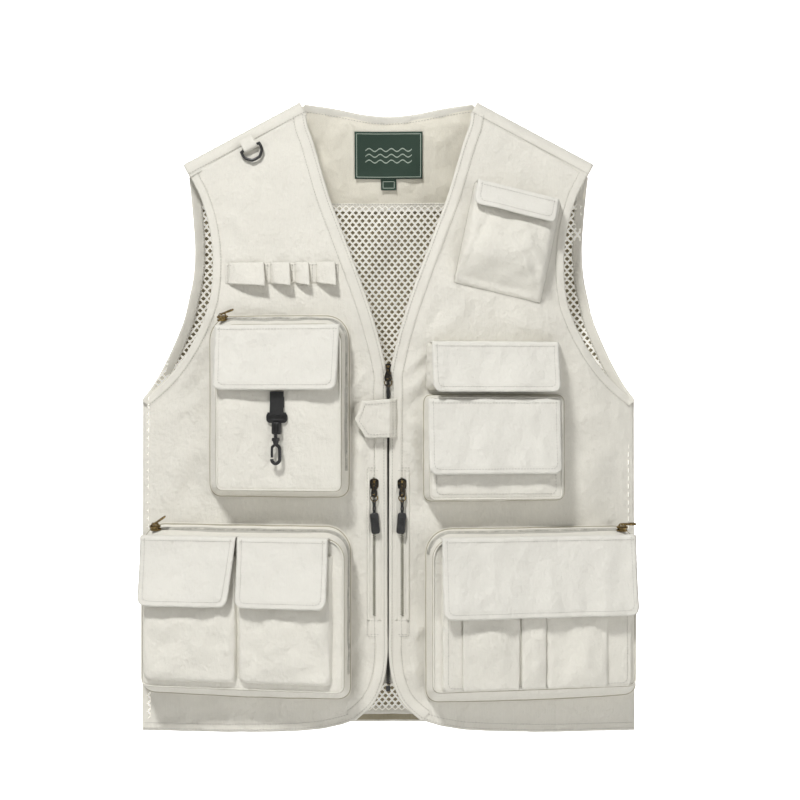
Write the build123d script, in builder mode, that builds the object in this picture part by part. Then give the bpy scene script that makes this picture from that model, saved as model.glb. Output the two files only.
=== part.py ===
"""Fishing vest: a sleeveless canvas body with box pockets, flaps, zips and clip-on hardware.

Millimetres. X points to the wearer's left, Z up and the front faces -Y. The origin is the middle
of the neck opening at the height of the highest shoulder points. Names with right and left are
the wearer's sides.
"""

import os
from math import asin, atan, cos, degrees, hypot, pi, radians, sin, sqrt

from build123d import *

os.makedirs("parts", exist_ok=True)

# Body
HALF_CHEST = 273.0  # half the flat chest width, at the side seams
HEM_Z = -697.0
BULGE = 52.0  # how far the front stands before the side seams, from FULL_BULGE_Z down
SHOULDER_BULGE = 8.0  # the same at the shoulders
FULL_BULGE_Z = -260.0
CLOTH = 2.0  # shell cloth with its backing
TRIM = 0.8  # a folded strip sewn on the shell
TRIM_GAP = 0.2
LINING_OUT = -3.3  # outer face of the lining, from the shell's outer face
LINING_IN = -4.5
REACH = 150.0  # more than the vest's depth, for cutting outlines through it
NECK_HALF = 93.0
TIP_X, TIP_Z = 222.0, -69.0  # shoulder tips
ARMPIT_Z = -332.0
EDGE_X = 2.0  # half the gap between the two front edges
SEAM_DROP = 14.0  # from the top of the shoulder to the panels' upper edges
V_FOOT = (4.0, -296.0)
HEM_CURVE_Z = -606.0
FACING_WIDTH = 13.0
BINDING_WIDTH = 6.0

# Zips: the chain and the slider's channel, across the travel and out of the cloth
CHAIN_IN, CHAIN_OUT = 0.6, 2.8
CHAIN_THICK = 1.8
TAPE_THICK = 0.6
PLATE_INSIDE, PLATE_OUTSIDE = 1.2, 2.2
FLANGE_Z = 0.6
SLIDER_HALF = 4.2
CHANNEL_HALF = 3.2
POST_HALF = 0.35
PIN_R = 0.93
PIN_HOLE_R = 1.0
PULL_THICK = 1.6
BAIL_R = 4.6
MAIN_ZIP_DEPTH = -5.0
WELT_ZIP_DEPTH = -2.6
RAIL_HEIGHT = 3.0  # of a pocket's zip above its gusset

# Pockets and flaps
WALL = 1.5
FLAP = 1.6
FLAP_LIFT = 1.8  # from the pocket's face to the flap's inner face
LOOP_THICK = 0.8  # the soft half of a touch fastener
HOOK_THICK = 0.7  # its stiff half, on the flap
PATCH_DEPTH = 7.0


def bulge(z):
    """How far the middle of the front stands out at a height."""
    share = min(1.0, max(0.0, z / FULL_BULGE_Z))
    return SHOULDER_BULGE + (BULGE - SHOULDER_BULGE) * sin(share * pi / 2)


def arc_radius(z):
    """Radius of the front's arc in plan at a height."""
    return (HALF_CHEST**2 + bulge(z) ** 2) / (2 * bulge(z))


def skin_y(x, z, out=0.0):
    """Y of the surface a distance out from the front's outer face."""
    r = arc_radius(z)
    return r - bulge(z) - sqrt((r + out) ** 2 - x * x)


CURVED_STEPS = 9
SECTION_HEIGHTS = [5.0]
SECTION_HEIGHTS += [FULL_BULGE_Z * k / CURVED_STEPS for k in range(1, CURVED_STEPS + 1)]
SECTION_HEIGHTS += [HEM_Z - 10]


def band(inner, outer):
    """The layer between two distances from the front's outer face, from side seam to side seam."""
    with BuildPart() as layer:
        for z in SECTION_HEIGHTS:
            w = HALF_CHEST
            with BuildSketch(Plane.XY.offset(z)):
                with BuildLine():
                    ThreePointArc(
                        (-w, skin_y(w, z, outer)), (0, skin_y(0, z, outer)), (w, skin_y(w, z, outer))
                    )
                    Line((w, skin_y(w, z, outer)), (w, skin_y(w, z, inner)))
                    ThreePointArc(
                        (w, skin_y(w, z, inner)), (0, skin_y(0, z, inner)), (-w, skin_y(w, z, inner))
                    )
                    Line((-w, skin_y(w, z, inner)), (-w, skin_y(w, z, outer)))
                make_face()
        loft(ruled=True)
    return layer.part


def core(out):
    """Everything inside the surface a distance out from the front, for cutting pockets to it."""
    with BuildPart() as inside:
        for z in SECTION_HEIGHTS:
            w = HALF_CHEST
            y = skin_y(w, z, out)
            with BuildSketch(Plane.XY.offset(z)):
                with BuildLine():
                    ThreePointArc((-w, y), (0, skin_y(0, z, out)), (w, y))
                    Polyline((w, y), (w, 40), (-w, 40), (-w, y))
                make_face()
        loft(ruled=True)
    return inside.part


def sheet(outline, layer, back=False):
    """A piece of a layer cut to an outline that is drawn as seen from the front."""
    way = -1 if back else 1
    with BuildPart() as piece:
        with BuildSketch(Plane.XZ):
            with BuildLine():
                outline()
            make_face()
        extrude(amount=way * REACH)
        add(mirror(layer, about=Plane.XZ, mode=Mode.PRIVATE) if back else layer, mode=Mode.INTERSECT)
    return piece.part


def sided(points, side):
    """Points given for the wearer's left, on either side."""
    return [(side * x, z) for x, z in points]


def strip(points, side, width):
    """The outline of a strip along an edge, with the width measured inwards."""

    def outline():
        outer = sided(points, side)
        inner = sided([(x - width, z) for x, z in points], side)
        Spline(*outer)
        Line(outer[-1], inner[-1])
        Spline(*inner[::-1])
        Line(inner[0], outer[0])

    return outline


FRONT_ARMHOLE = [
    (TIP_X - 4, TIP_Z - SEAM_DROP),
    (206, -107),
    (193, -159),
    (191.5, -195),
    (204, -249),
    (232, -295),
    (HALF_CHEST - 0.5, ARMPIT_Z),
]
BACK_ARMHOLE = [
    (TIP_X - 1, TIP_Z - SEAM_DROP),
    (218, -113),
    (215, -165),
    (221, -215),
    (236, -265),
    (HALF_CHEST - 0.5, ARMPIT_Z),
]
V_TOP = [(NECK_HALF, -SEAM_DROP), (90, -30), (83, -50)]
BACK_NECK = [(-NECK_HALF, -SEAM_DROP), (-60, -7), (0, -16), (60, -7), (NECK_HALF, -SEAM_DROP)]
FRONT_HEM = [(EDGE_X, HEM_CURVE_Z), (12, -650), (37, -677), (97, -689)]


def front_outline(side):
    """One front, from the neck point down the V and the front edge, round the hem and armhole."""

    def outline():
        Spline(*sided(V_TOP, side))
        Polyline(*sided([V_TOP[-1], V_FOOT, (EDGE_X, V_FOOT[1] - 8), FRONT_HEM[0]], side))
        Spline(*sided(FRONT_HEM, side), tangents=[(0, -1), (side, -0.05)])
        Polyline(*sided([FRONT_HEM[-1], (HALF_CHEST, HEM_Z), (HALF_CHEST, ARMPIT_Z)], side))
        Line(*sided([(HALF_CHEST, ARMPIT_Z), FRONT_ARMHOLE[-1]], side))
        Spline(*sided(FRONT_ARMHOLE[::-1], side))
        Line(*sided([FRONT_ARMHOLE[0], V_TOP[0]], side))

    return outline


def back_outline():
    """The whole back."""
    Spline(*BACK_NECK)
    for side in (-1, 1):
        Line(*sided([BACK_NECK[-1], BACK_ARMHOLE[0]], side))
        Spline(*sided(BACK_ARMHOLE, side))
        Polyline(*sided([BACK_ARMHOLE[-1], (HALF_CHEST, ARMPIT_Z), (HALF_CHEST, HEM_Z)], side))
    Line((-HALF_CHEST, HEM_Z), (HALF_CHEST, HEM_Z))


def box_outline(x0, x1, z0, z1):
    """A plain rectangle."""

    def outline():
        Polyline((x0, z0), (x1, z0), (x1, z1), (x0, z1), (x0, z0))

    return outline


SHELL = band(-CLOTH, 0)
LINING = band(LINING_IN, LINING_OUT)
TRIM_LAYER = band(TRIM_GAP, TRIM_GAP + TRIM)
LABEL_LAYER = band(LINING_IN - 1.0, LINING_IN - 0.2)
CORE = core(0.25)


def finish(part, name):
    """Label a part and write it."""
    part.label = name
    export_step(part, f"parts/{name}.step")


# Welt zips: the slits in the fronts
WELT_X = {"right": -15.0, "left": 15.0}
WELT_TOP, WELT_BOTTOM = -412.0, -566.0
WELT_SLIT_HALF = 6.0

for name, side in (("right", -1), ("left", 1)):
    with BuildPart() as front_panel:
        add(sheet(front_outline(side), SHELL))
        slit_middle = (WELT_TOP + WELT_BOTTOM) / 2
        with Locations((WELT_X[name], skin_y(15, slit_middle), slit_middle)):
            Box(2 * WELT_SLIT_HALF, 20, WELT_TOP - WELT_BOTTOM, mode=Mode.SUBTRACT)
    finish(front_panel.part, f"{name}_front_panel")

    def facing_outline():
        """The strip along the V and the front edge."""
        near = [V_TOP[0], V_TOP[-1], V_FOOT, (EDGE_X, V_FOOT[1] - 8), (EDGE_X, HEM_CURVE_Z)]
        far = [(x + FACING_WIDTH * 0.55, z) for x, z in near[:0:-1]]
        far += [(V_TOP[0][0] + FACING_WIDTH, V_TOP[0][1] - 7)]
        Polyline(*sided([*near, *far, near[0]], side))

    finish(sheet(facing_outline, TRIM_LAYER), f"{name}_front_facing")

    with BuildPart() as binding:
        add(sheet(strip(FRONT_ARMHOLE, side, BINDING_WIDTH), TRIM_LAYER))
        add(sheet(strip(BACK_ARMHOLE, side, BINDING_WIDTH), TRIM_LAYER, back=True))
    finish(binding.part, f"{name}_armhole_binding")

finish(sheet(back_outline, SHELL, back=True), "back_panel")

YOKE_Z = -118.0


def yoke_outline():
    """The inside yoke: the top of the back down to a straight lower edge."""
    points = [(x, z) for x, z in BACK_ARMHOLE if z > YOKE_Z]
    Spline(*BACK_NECK)
    for side in (-1, 1):
        Polyline(*sided([BACK_NECK[-1], *points, (217, YOKE_Z)], side))
    Line((-217, YOKE_Z), (217, YOKE_Z))


finish(sheet(yoke_outline, LINING, back=True), "inner_yoke")


def mesh_outline():
    """The mesh lining of the back, from the yoke to just above the hem."""
    low = HEM_Z + 8
    top = [(217, YOKE_Z - 0.3), (215, -165), (221, -215), (236, -265), (262, -316), (267, ARMPIT_Z)]
    for side in (-1, 1):
        Polyline(*sided([*top, (267, low)], side))
    Line((-217, YOKE_Z - 0.3), (217, YOKE_Z - 0.3))
    Line((-267, low), (267, low))


finish(sheet(mesh_outline, LINING, back=True), "mesh_lining")


def neck_strip():
    """The binding along the back neck."""
    low = [(x, z - BINDING_WIDTH) for x, z in BACK_NECK]
    Spline(*BACK_NECK)
    Spline(*low)
    for end in (0, -1):
        Line(BACK_NECK[end], low[end])


finish(sheet(neck_strip, TRIM_LAYER, back=True), "back_neck_binding")
finish(sheet(box_outline(-38, 38, -82.5, -31.5), LABEL_LAYER, back=True), "neck_label")
finish(sheet(box_outline(-8.5, 8.5, -94.5, -83), LABEL_LAYER, back=True), "size_label")

# Shoulder bands: a cloth arch over each shoulder seam
ARCH_R = 10.5
with BuildPart() as shoulder_bands:
    for side in (-1, 1):
        run = Vector(side * (TIP_X - NECK_HALF), 0, TIP_Z)
        across = Plane(origin=(side * NECK_HALF, 0, -ARCH_R), x_dir=(0, 1, 0), z_dir=run)
        up = 1 if across.y_dir.Z > 0 else -1
        foot, top = -3.0 * up, ARCH_R * up
        with BuildSketch(across):
            with BuildLine():
                ThreePointArc((-ARCH_R, 0), (0, top), (ARCH_R, 0))
                Polyline((ARCH_R, 0), (ARCH_R, foot), (ARCH_R - CLOTH, foot), (ARCH_R - CLOTH, 0))
                ThreePointArc((ARCH_R - CLOTH, 0), (0, top * (1 - CLOTH / ARCH_R)), (CLOTH - ARCH_R, 0))
                Polyline((CLOTH - ARCH_R, 0), (CLOTH - ARCH_R, foot), (-ARCH_R, foot), (-ARCH_R, 0))
            make_face()
        extrude(amount=run.length)
finish(shoulder_bands.part, "shoulder_bands")


# Zips
def zip_tapes(line, length, tape_out):
    """Both tapes of a zip, running along the plane's X from its origin."""
    with BuildPart() as tapes:
        for way in (-1, 1):
            with BuildSketch(line):
                with Locations((length / 2, way * (CHAIN_OUT + tape_out) / 2)):
                    Rectangle(length, tape_out - CHAIN_OUT)
            extrude(amount=TAPE_THICK / 2, both=True)
    return tapes.part


def zip_chains(line, length):
    """Both rows of teeth."""
    with BuildPart() as chains:
        for way in (-1, 1):
            with BuildSketch(line):
                with Locations((length / 2, way * (CHAIN_IN + CHAIN_OUT) / 2)):
                    Rectangle(length, CHAIN_OUT - CHAIN_IN)
            extrude(amount=CHAIN_THICK / 2, both=True)
    return chains.part


def slider(line, at, length, half, pin_z):
    """A slider round the chain, with a bridge that holds the pull's pin at a height."""
    with BuildPart() as body:
        for way in (-1, 1):
            with BuildSketch(line.offset(way * PLATE_INSIDE)):
                with Locations((at, 0)):
                    RectangleRounded(length, 2 * half, 1.5)
            extrude(amount=way * (PLATE_OUTSIDE - PLATE_INSIDE))
            for flank in (-1, 1):
                with BuildSketch(line.offset(way * FLANGE_Z)):
                    with Locations((at + 1, flank * (CHANNEL_HALF + half) / 2)):
                        Rectangle(length - 5, half - CHANNEL_HALF)
                extrude(amount=way * (PLATE_INSIDE - FLANGE_Z))
        with BuildSketch(line.offset(-PLATE_INSIDE)):
            with Locations((at - length / 2 + 2, 0)):
                Rectangle(3, 2 * POST_HALF)
        extrude(amount=2 * PLATE_INSIDE)
        bridge = Plane(origin=line.from_local_coords((at, 1, 0)), x_dir=line.x_dir, z_dir=line.y_dir)
        out = 1 if bridge.to_local_coords(line.from_local_coords((at, 1, 1))).Y > 0 else -1
        with BuildSketch(bridge):
            with Locations((0, out * (PLATE_OUTSIDE + pin_z) / 2)):
                Rectangle(7, pin_z - PLATE_OUTSIDE)
            with Locations((0, out * pin_z)):
                Rectangle(7, 4)
                Circle(PIN_HOLE_R, mode=Mode.SUBTRACT)
        extrude(amount=-2)
    return body.part


def pull(line, at, pin_z, way, length=15.0, lift=0.0, bail=True):
    """A drop-shaped pull on its pin along the chain; way is 1 towards the travel, lift in degrees."""
    along = line.x_dir * way * cos(radians(lift)) + line.z_dir * sin(radians(lift))
    out = line.z_dir * cos(radians(lift)) - line.x_dir * way * sin(radians(lift))
    flat = Plane(origin=line.from_local_coords((at, 0, pin_z)), x_dir=along, z_dir=out)
    with BuildPart() as drop:
        with BuildSketch(flat.offset(-PULL_THICK / 2)):
            with Locations((length / 2 - 1, 0)):
                RectangleRounded(length, 7, 1.6)
            with Locations((1.2, 0)):
                Rectangle(6.0, 2.6, mode=Mode.SUBTRACT)
        extrude(amount=PULL_THICK)
        across = Plane(origin=flat.from_local_coords((0, -1.4, 0)), x_dir=flat.x_dir, z_dir=flat.y_dir)
        with BuildSketch(across):
            Circle(PIN_R)
        extrude(amount=2.8)
        if bail:
            with BuildSketch(flat.offset(-0.6)):
                with Locations((length - 4, 0)):
                    Circle(BAIL_R)
                    Circle(BAIL_R - 1.2, mode=Mode.SUBTRACT)
                with Locations((length - 4 - BAIL_R, 0)):
                    Rectangle(2 * BAIL_R, 3 * BAIL_R, mode=Mode.SUBTRACT)
            extrude(amount=1.2)
    return drop.part


CORD_LENGTH = 16.0
GRIP_LENGTH = 21.0
MAIN_CORD_LENGTH = 13.6
CORD_START = 16.2  # from the slider's middle


def doubled_cord(line, start, pin_z, cord_length):
    """A short doubled cord, hanging along the travel."""
    with BuildPart() as strand:
        with BuildSketch(line.offset(pin_z - 0.9)):
            with Locations((start + cord_length / 2, 0)):
                Rectangle(cord_length, 3.4)
        extrude(amount=1.8)
    return strand.part


def cord(line, start, pin_z, cord_length, turn):
    """A short doubled cord with a moulded grip on its end."""
    with BuildPart() as hanging:
        add(doubled_cord(line, start, pin_z, cord_length))
        with BuildSketch(line.offset(pin_z - 2.2)):
            with Locations(Location((start + cord_length + GRIP_LENGTH / 2 - 1, turn * 0.18, 0), turn)):
                RectangleRounded(GRIP_LENGTH, 9, 1.2)
        extrude(amount=4.6)
    return hanging.part


def down_line(x, z, depth):
    """The plane of a zip that runs down the front from a point."""
    a = asin(x / arc_radius(z))
    out = Vector(sin(a), -cos(a), 0)
    start = Vector(x, skin_y(x, z), z) + out * depth
    return Plane(origin=start, x_dir=(0, 0, -1), z_dir=out)


MAIN_TOP, MAIN_BOTTOM = -279.0, -640.0
MAIN_LENGTH = MAIN_TOP - MAIN_BOTTOM
MAIN_PIN = 8.6
main_line = down_line(0, MAIN_TOP, MAIN_ZIP_DEPTH)
finish(zip_tapes(main_line, MAIN_LENGTH, 9.5), "main_zip_tapes")
finish(zip_chains(main_line, MAIN_LENGTH), "main_zip_chains")
with BuildPart() as stops:
    for way in (-1, 1):
        with BuildSketch(main_line.offset(-1.3)):
            with Locations((-2, way * 1.9)):
                Rectangle(3.6, 2.2)
        extrude(amount=2.6)
    with BuildSketch(main_line.offset(-1.6)):
        with Locations((MAIN_LENGTH + 4, 0)):
            Rectangle(8, 9)
    extrude(amount=3.2)
finish(stops.part, "main_zip_stops")
MAIN_SLIDER_AT = 18.5
finish(slider(main_line, MAIN_SLIDER_AT, 12, SLIDER_HALF, MAIN_PIN), "main_zip_slider")
finish(pull(main_line, MAIN_SLIDER_AT, MAIN_PIN, 1), "main_zip_pull")
main_cord = doubled_cord(main_line, MAIN_SLIDER_AT + CORD_START, MAIN_PIN, MAIN_CORD_LENGTH)
finish(main_cord, "main_zip_cord")

WELT_PIN = 6.0
WELT_LENGTH = WELT_TOP - WELT_BOTTOM - 4
WELT_SLIDER_AT = 8.0
welt_lines = {}
for name, x in WELT_X.items():
    welt_lines[name] = down_line(x, WELT_TOP - 2, WELT_ZIP_DEPTH)
    with BuildPart() as welt_zip:
        add(zip_tapes(welt_lines[name], WELT_LENGTH, 5.8))
        add(zip_chains(welt_lines[name], WELT_LENGTH))
    finish(welt_zip.part, f"{name}_welt_zip")
    finish(slider(welt_lines[name], WELT_SLIDER_AT, 13, 5.0, WELT_PIN), f"{name}_welt_slider")
    finish(pull(welt_lines[name], WELT_SLIDER_AT, WELT_PIN, 1), f"{name}_welt_pull")
    lean = 5 if name == "right" else -5
    start = WELT_SLIDER_AT + CORD_START
    finish(cord(welt_lines[name], start, WELT_PIN, CORD_LENGTH, lean), f"{name}_welt_cord")


# Pockets
def on_front(x, z, turn=0.0):
    """A plane on the front's surface: X along the cloth, Y up it and Z outwards."""
    step = 1.0
    slope_x = (skin_y(x + step, z) - skin_y(x - step, z)) / (2 * step)
    slope_z = (skin_y(x, z + step) - skin_y(x, z - step)) / (2 * step)
    if z < FULL_BULGE_Z:
        slope_z = 0.0
    out = Vector(slope_x, -1, slope_z).normalized()
    flat = Plane(origin=(x, skin_y(x, z), z), x_dir=(1, slope_x, 0), z_dir=out)
    along = flat.x_dir * cos(radians(turn)) + flat.y_dir * sin(radians(turn))
    return Plane(origin=flat.origin, x_dir=along, z_dir=out)


SINK = 16.0  # how far a pocket's sides are drawn below its plane before they are cut to the body


def tapered(place, base, face, shift, top, inset):
    """A solid box that tapers from a base on the plane to a face."""
    corner = 8.0 - inset
    with BuildPart() as solid:
        with BuildSketch(place):
            RectangleRounded(base[0] - 2 * inset, base[1] - 2 * inset, corner)
        extrude(amount=-SINK - inset)
        with BuildSketch(place):
            RectangleRounded(base[0] - 2 * inset, base[1] - 2 * inset, corner)
        with BuildSketch(place.offset(top)):
            with Locations(shift):
                RectangleRounded(face[0] - 2 * inset, face[1] - 2 * inset, corner)
        loft()
    return solid.part


def box_pocket(place, base, face, shift, depth):
    """A tapered box open towards the body, with its walls cut to the body's surface."""
    with BuildPart() as box:
        add(tapered(place, base, face, shift, depth, 0.0))
        add(tapered(place, base, face, shift, depth - WALL, WALL), mode=Mode.SUBTRACT)
        add(CORE, mode=Mode.SUBTRACT)
    return box.part


def gusset_line(place, base_top, face_top, depth, start, way):
    """The plane of a zip along a pocket's top gusset, and the gusset's own plane below it."""
    lean = hypot(depth, base_top - face_top)
    up, out = depth / lean, (base_top - face_top) / lean
    middle = ((base_top + face_top) / 2, depth / 2)
    origin = place.from_local_coords(
        (start, middle[0] + up * RAIL_HEIGHT, middle[1] + out * RAIL_HEIGHT)
    )
    normal = place.y_dir * up + place.z_dir * out
    return Plane(origin=origin, x_dir=place.x_dir * way, z_dir=normal)


def zipped(box, line, length):
    """A pocket with the slot of its zip and the two rails that carry the tapes."""
    with BuildPart() as pocket:
        add(box)
        with BuildSketch(line.offset(-RAIL_HEIGHT - 8)):
            with Locations((length / 2, 0)):
                Rectangle(length - 8, 9.2)
        extrude(amount=14, mode=Mode.SUBTRACT)
        for way in (-1, 1):
            with BuildSketch(line.offset(-TAPE_THICK / 2)):
                with Locations((length / 2, way * 6.2)):
                    Rectangle(length, 2)
            extrude(amount=-RAIL_HEIGHT - 0.6)
    return pocket.part


POCKET_PIN = 5.2


def pocket_zip(name, line, length, at, pull_way, pull_length, lift):
    """The tapes, chain, slider and pull of a pocket's zip."""
    with BuildPart() as strip_parts:
        add(zip_tapes(line, length, 7.2))
        add(zip_chains(line, length))
    finish(strip_parts.part, f"{name}_zip")
    finish(slider(line, at, 12, SLIDER_HALF, POCKET_PIN), f"{name}_slider")
    finish(pull(line, at, POCKET_PIN, pull_way, pull_length, lift, bail=False), f"{name}_pull")


def flap(place, u0, u1, top, bottom, inner, narrower=0.0, ledge=0.0, hooks=()):
    """A stiffened flap with round lower corners, its ledge over the pocket's edge and its hooks."""
    with BuildPart() as piece:
        with BuildSketch(place.offset(inner)):
            with BuildLine():
                FilletPolyline((u1, top), (u1 - narrower, bottom), (u0, bottom), (u0, top), radius=9)
                Line((u0, top), (u1, top))
            make_face()
        extrude(amount=FLAP)
        if ledge:
            with BuildSketch(place.offset(inner)):
                with Locations(((u0 + u1) / 2, top - FLAP / 2)):
                    Rectangle(u1 - u0, FLAP)
            extrude(amount=-ledge)
        for u, v, width, height in hooks:
            with BuildSketch(place.offset(inner)):
                with Locations((u, v)):
                    Rectangle(width, height)
            extrude(amount=-HOOK_THICK)
    return piece.part


def face_slot(place, u, v, width, height, out):
    """The cutter for a pocket mouth through a front wall."""
    with BuildPart() as slot:
        with BuildSketch(place.offset(out - 5)):
            with Locations((u, v)):
                Rectangle(width, height)
        extrude(amount=10)
    return slot.part


def patch_pocket(place, u0, u1, bottom, top, foot, depth):
    """A patch pocket on a pocket's face: a shallow box open at its top."""
    with BuildPart() as patch:
        with BuildSketch(place.offset(foot)):
            with Locations(((u0 + u1) / 2, (bottom + top) / 2)):
                Rectangle(u1 - u0, top - bottom)
        extrude(amount=depth)
        with BuildSketch(place.offset(foot - 1)):
            with Locations(((u0 + u1) / 2, (bottom + top) / 2 + WALL)):
                Rectangle(u1 - u0 - 2 * WALL, top - bottom)
        extrude(amount=depth + 1 - WALL, mode=Mode.SUBTRACT)
    return patch.part


soft_halves = []  # the loop half of every touch fastener


def soft_half(place, u, v, width, height, foot):
    """One loop patch sewn on a pocket."""
    with BuildPart() as patch:
        with BuildSketch(place.offset(foot)):
            with Locations((u, v)):
                Rectangle(width, height)
        extrude(amount=LOOP_THICK)
    soft_halves.append(patch.part)


# Chest box pocket, on the wearer's right
CHEST_DEPTH = 28.0
chest = on_front(-118.5, -337.5)
CHEST_BASE_TOP, CHEST_FACE_TOP = 98.5, 86.5
box = box_pocket(chest, (156, 197), (135, 176), (5.5, -1.5), CHEST_DEPTH)
chest_line = gusset_line(chest, CHEST_BASE_TOP, CHEST_FACE_TOP, CHEST_DEPTH, -66, 1)
with BuildPart() as chest_box_pocket:
    add(zipped(box, chest_line, 132))
    add(face_slot(chest, 5, 73, 110, 8, CHEST_DEPTH), mode=Mode.SUBTRACT)
finish(chest_box_pocket.part, "chest_box_pocket")
pocket_zip("chest_box", chest_line, 132, 7, 1, 15, 20)
chest_inner = CHEST_DEPTH + FLAP_LIFT
CHEST_HOOKS = [(-36, 30, 34, 16), (46, 30, 34, 16)]
finish(flap(chest, -64, 72.5, 87.5, 17.5, chest_inner, 2, 0, CHEST_HOOKS), "chest_box_flap")
for u, v, width, height in CHEST_HOOKS:
    soft_half(chest, u, v, width, height, CHEST_DEPTH)

# The webbing, buckle, swivel hook and gate that hang from the chest flap
STRAP_U, STRAP_HALF, STRAP_THICK = 5.0, 7.5, 1.0
BAR_V, BAR_R = -8.0, 1.5
BAR_OUT = CHEST_DEPTH + 3.4
BAR_CLEARANCE = 0.05
with BuildPart() as hook_strap:
    with BuildSketch(chest.offset(CHEST_DEPTH + 0.15)):
        with Locations((STRAP_U, (38 + BAR_V) / 2)):
            Rectangle(2 * STRAP_HALF, 38 - BAR_V)
    extrude(amount=STRAP_THICK)
    side_on = Plane(
        origin=chest.from_local_coords((STRAP_U - STRAP_HALF, BAR_V, BAR_OUT)),
        x_dir=chest.y_dir,
        z_dir=chest.x_dir,
    )
    with BuildSketch(side_on):
        Circle(BAR_OUT - CHEST_DEPTH - 0.15)
    extrude(amount=2 * STRAP_HALF)
    with BuildSketch(side_on):
        Circle(BAR_R + BAR_CLEARANCE)
    extrude(amount=2 * STRAP_HALF, mode=Mode.SUBTRACT)
finish(hook_strap.part, "hook_strap")

HOOK_OUT = CHEST_DEPTH + 8.6  # the swivel's axis
STEM_R = 1.9
with BuildPart() as hook_buckle:
    with BuildSketch(Plane(side_on.from_local_coords((0, 0, -2.5)), side_on.x_dir, side_on.z_dir)):
        Circle(BAR_R)
    extrude(amount=2 * STRAP_HALF + 5)
    for way in (-1, 1):
        with BuildSketch(chest.offset(BAR_OUT - 1.2)):
            with Locations((STRAP_U + way * 9.7, BAR_V - 5.0)):
                Rectangle(2.6, 13)
        extrude(amount=2.4)
    with BuildSketch(chest.offset(BAR_OUT - 1.2)):
        with Locations((STRAP_U, BAR_V - 10.5)):
            Rectangle(22, 3)
    extrude(amount=2.4)
    with BuildSketch(chest.offset(BAR_OUT - 1.2)):
        with Locations((STRAP_U, BAR_V - 17)):
            Rectangle(11, 11)
    extrude(amount=HOOK_OUT + 3.6 - BAR_OUT + 1.2)
    clamp_foot = Plane(
        origin=chest.from_local_coords((STRAP_U, BAR_V - 24, HOOK_OUT)),
        x_dir=chest.x_dir,
        z_dir=chest.y_dir,
    )
    with BuildSketch(clamp_foot):
        Circle(STEM_R + 0.06)
    extrude(amount=9, mode=Mode.SUBTRACT)
    with BuildSketch(clamp_foot.offset(3.5)):
        Circle(3.0)
    extrude(amount=5.4, mode=Mode.SUBTRACT)
finish(hook_buckle.part, "hook_buckle")

with BuildPart() as snap_hook:
    with BuildSketch(clamp_foot.offset(-1.0)):
        Circle(STEM_R)
    extrude(amount=6.5)
    with BuildSketch(clamp_foot.offset(3.9)):
        Circle(2.8)
    extrude(amount=4.4)
    with BuildSketch(clamp_foot.offset(-9)):
        Circle(4.4)
    extrude(amount=8.2)
    with BuildSketch(chest.offset(HOOK_OUT - 2)):
        with Locations((STRAP_U, BAR_V - 40)):
            Ellipse(6.2, 14.5)
            Ellipse(3.0, 10.5, mode=Mode.SUBTRACT)
            with Locations((-4.5, 0)):
                Rectangle(5.0, 14, mode=Mode.SUBTRACT)
    extrude(amount=4)
finish(snap_hook.part, "snap_hook")
with BuildPart() as hook_gate:
    with BuildSketch(chest.offset(HOOK_OUT - 1.6)):
        with Locations((STRAP_U - 4.6, BAR_V - 40)):
            RectangleRounded(2.0, 13.2, 0.9)
    extrude(amount=3.2)
finish(hook_gate.part, "hook_gate")

# Right cargo pocket with its two patch pockets
CARGO_DEPTH = 30.0
CARGO_INNER = CARGO_DEPTH + PATCH_DEPTH + FLAP_LIFT
right_cargo = on_front(-156.0, -560.0)
box = box_pocket(right_cargo, (237, 188), (225, 161), (5, 0), CARGO_DEPTH)
right_cargo_line = gusset_line(right_cargo, 94, 80.5, CARGO_DEPTH, -104, 1)
finish(zipped(box, right_cargo_line, 212), "right_cargo_pocket")
pocket_zip("right_cargo", right_cargo_line, 212, 7, 1, 17, 33)
PATCH_SPANS = {"outer": (-105.0, 1.2), "inner": (2.6, 106.0)}
FLAP_SPANS = {"outer": (-106.3, 1.6, 8.0), "inner": (2.8, 103.0, 0.0)}
patches = [
    patch_pocket(right_cargo, u0, u1, -74, 66, CARGO_DEPTH, PATCH_DEPTH)
    for u0, u1 in PATCH_SPANS.values()
]
with BuildPart() as right_cargo_patches:
    for patch in patches:
        add(patch)
finish(right_cargo_patches.part, "right_cargo_patches")
CARGO_TOP = 83.0
for name, (u0, u1, narrower) in FLAP_SPANS.items():
    middle = (u0 + u1 - narrower) / 2
    hooks = [(middle + way * 28, 22, 26, 16) for way in (-1, 1)]
    ledge = CARGO_INNER - CARGO_DEPTH - 0.6
    part = flap(right_cargo, u0, u1, CARGO_TOP, 8, CARGO_INNER, narrower, ledge, hooks)
    finish(part, f"right_cargo_flap_{name}")
    for u, v, width, height in hooks:
        soft_half(right_cargo, u, v, width, height, CARGO_DEPTH + PATCH_DEPTH)

# Left cargo pocket with its pleated patch
left_cargo = on_front(157.0, -563.5)
box = box_pocket(left_cargo, (239, 189), (225, 161), (-5, 4), CARGO_DEPTH)
left_cargo_line = gusset_line(left_cargo, 94.5, 84.5, CARGO_DEPTH, 106, -1)
finish(zipped(box, left_cargo_line, 212), "left_cargo_pocket")
pocket_zip("left_cargo", left_cargo_line, 212, 9, -1, 17, 0)
PLEATS = [(-87.0, -26.0), (-22.6, 4.0), (6.0, 72.5)]
with BuildPart() as left_cargo_patch:
    add(patch_pocket(left_cargo, -109, 102, -77.5, 68, CARGO_DEPTH, PATCH_DEPTH - 0.8))
    for u0, u1 in PLEATS:
        with BuildSketch(left_cargo.offset(CARGO_DEPTH + PATCH_DEPTH - 0.8)):
            with Locations(((u0 + u1) / 2, -5)):
                Rectangle(u1 - u0, 144)
        extrude(amount=0.8)
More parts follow.
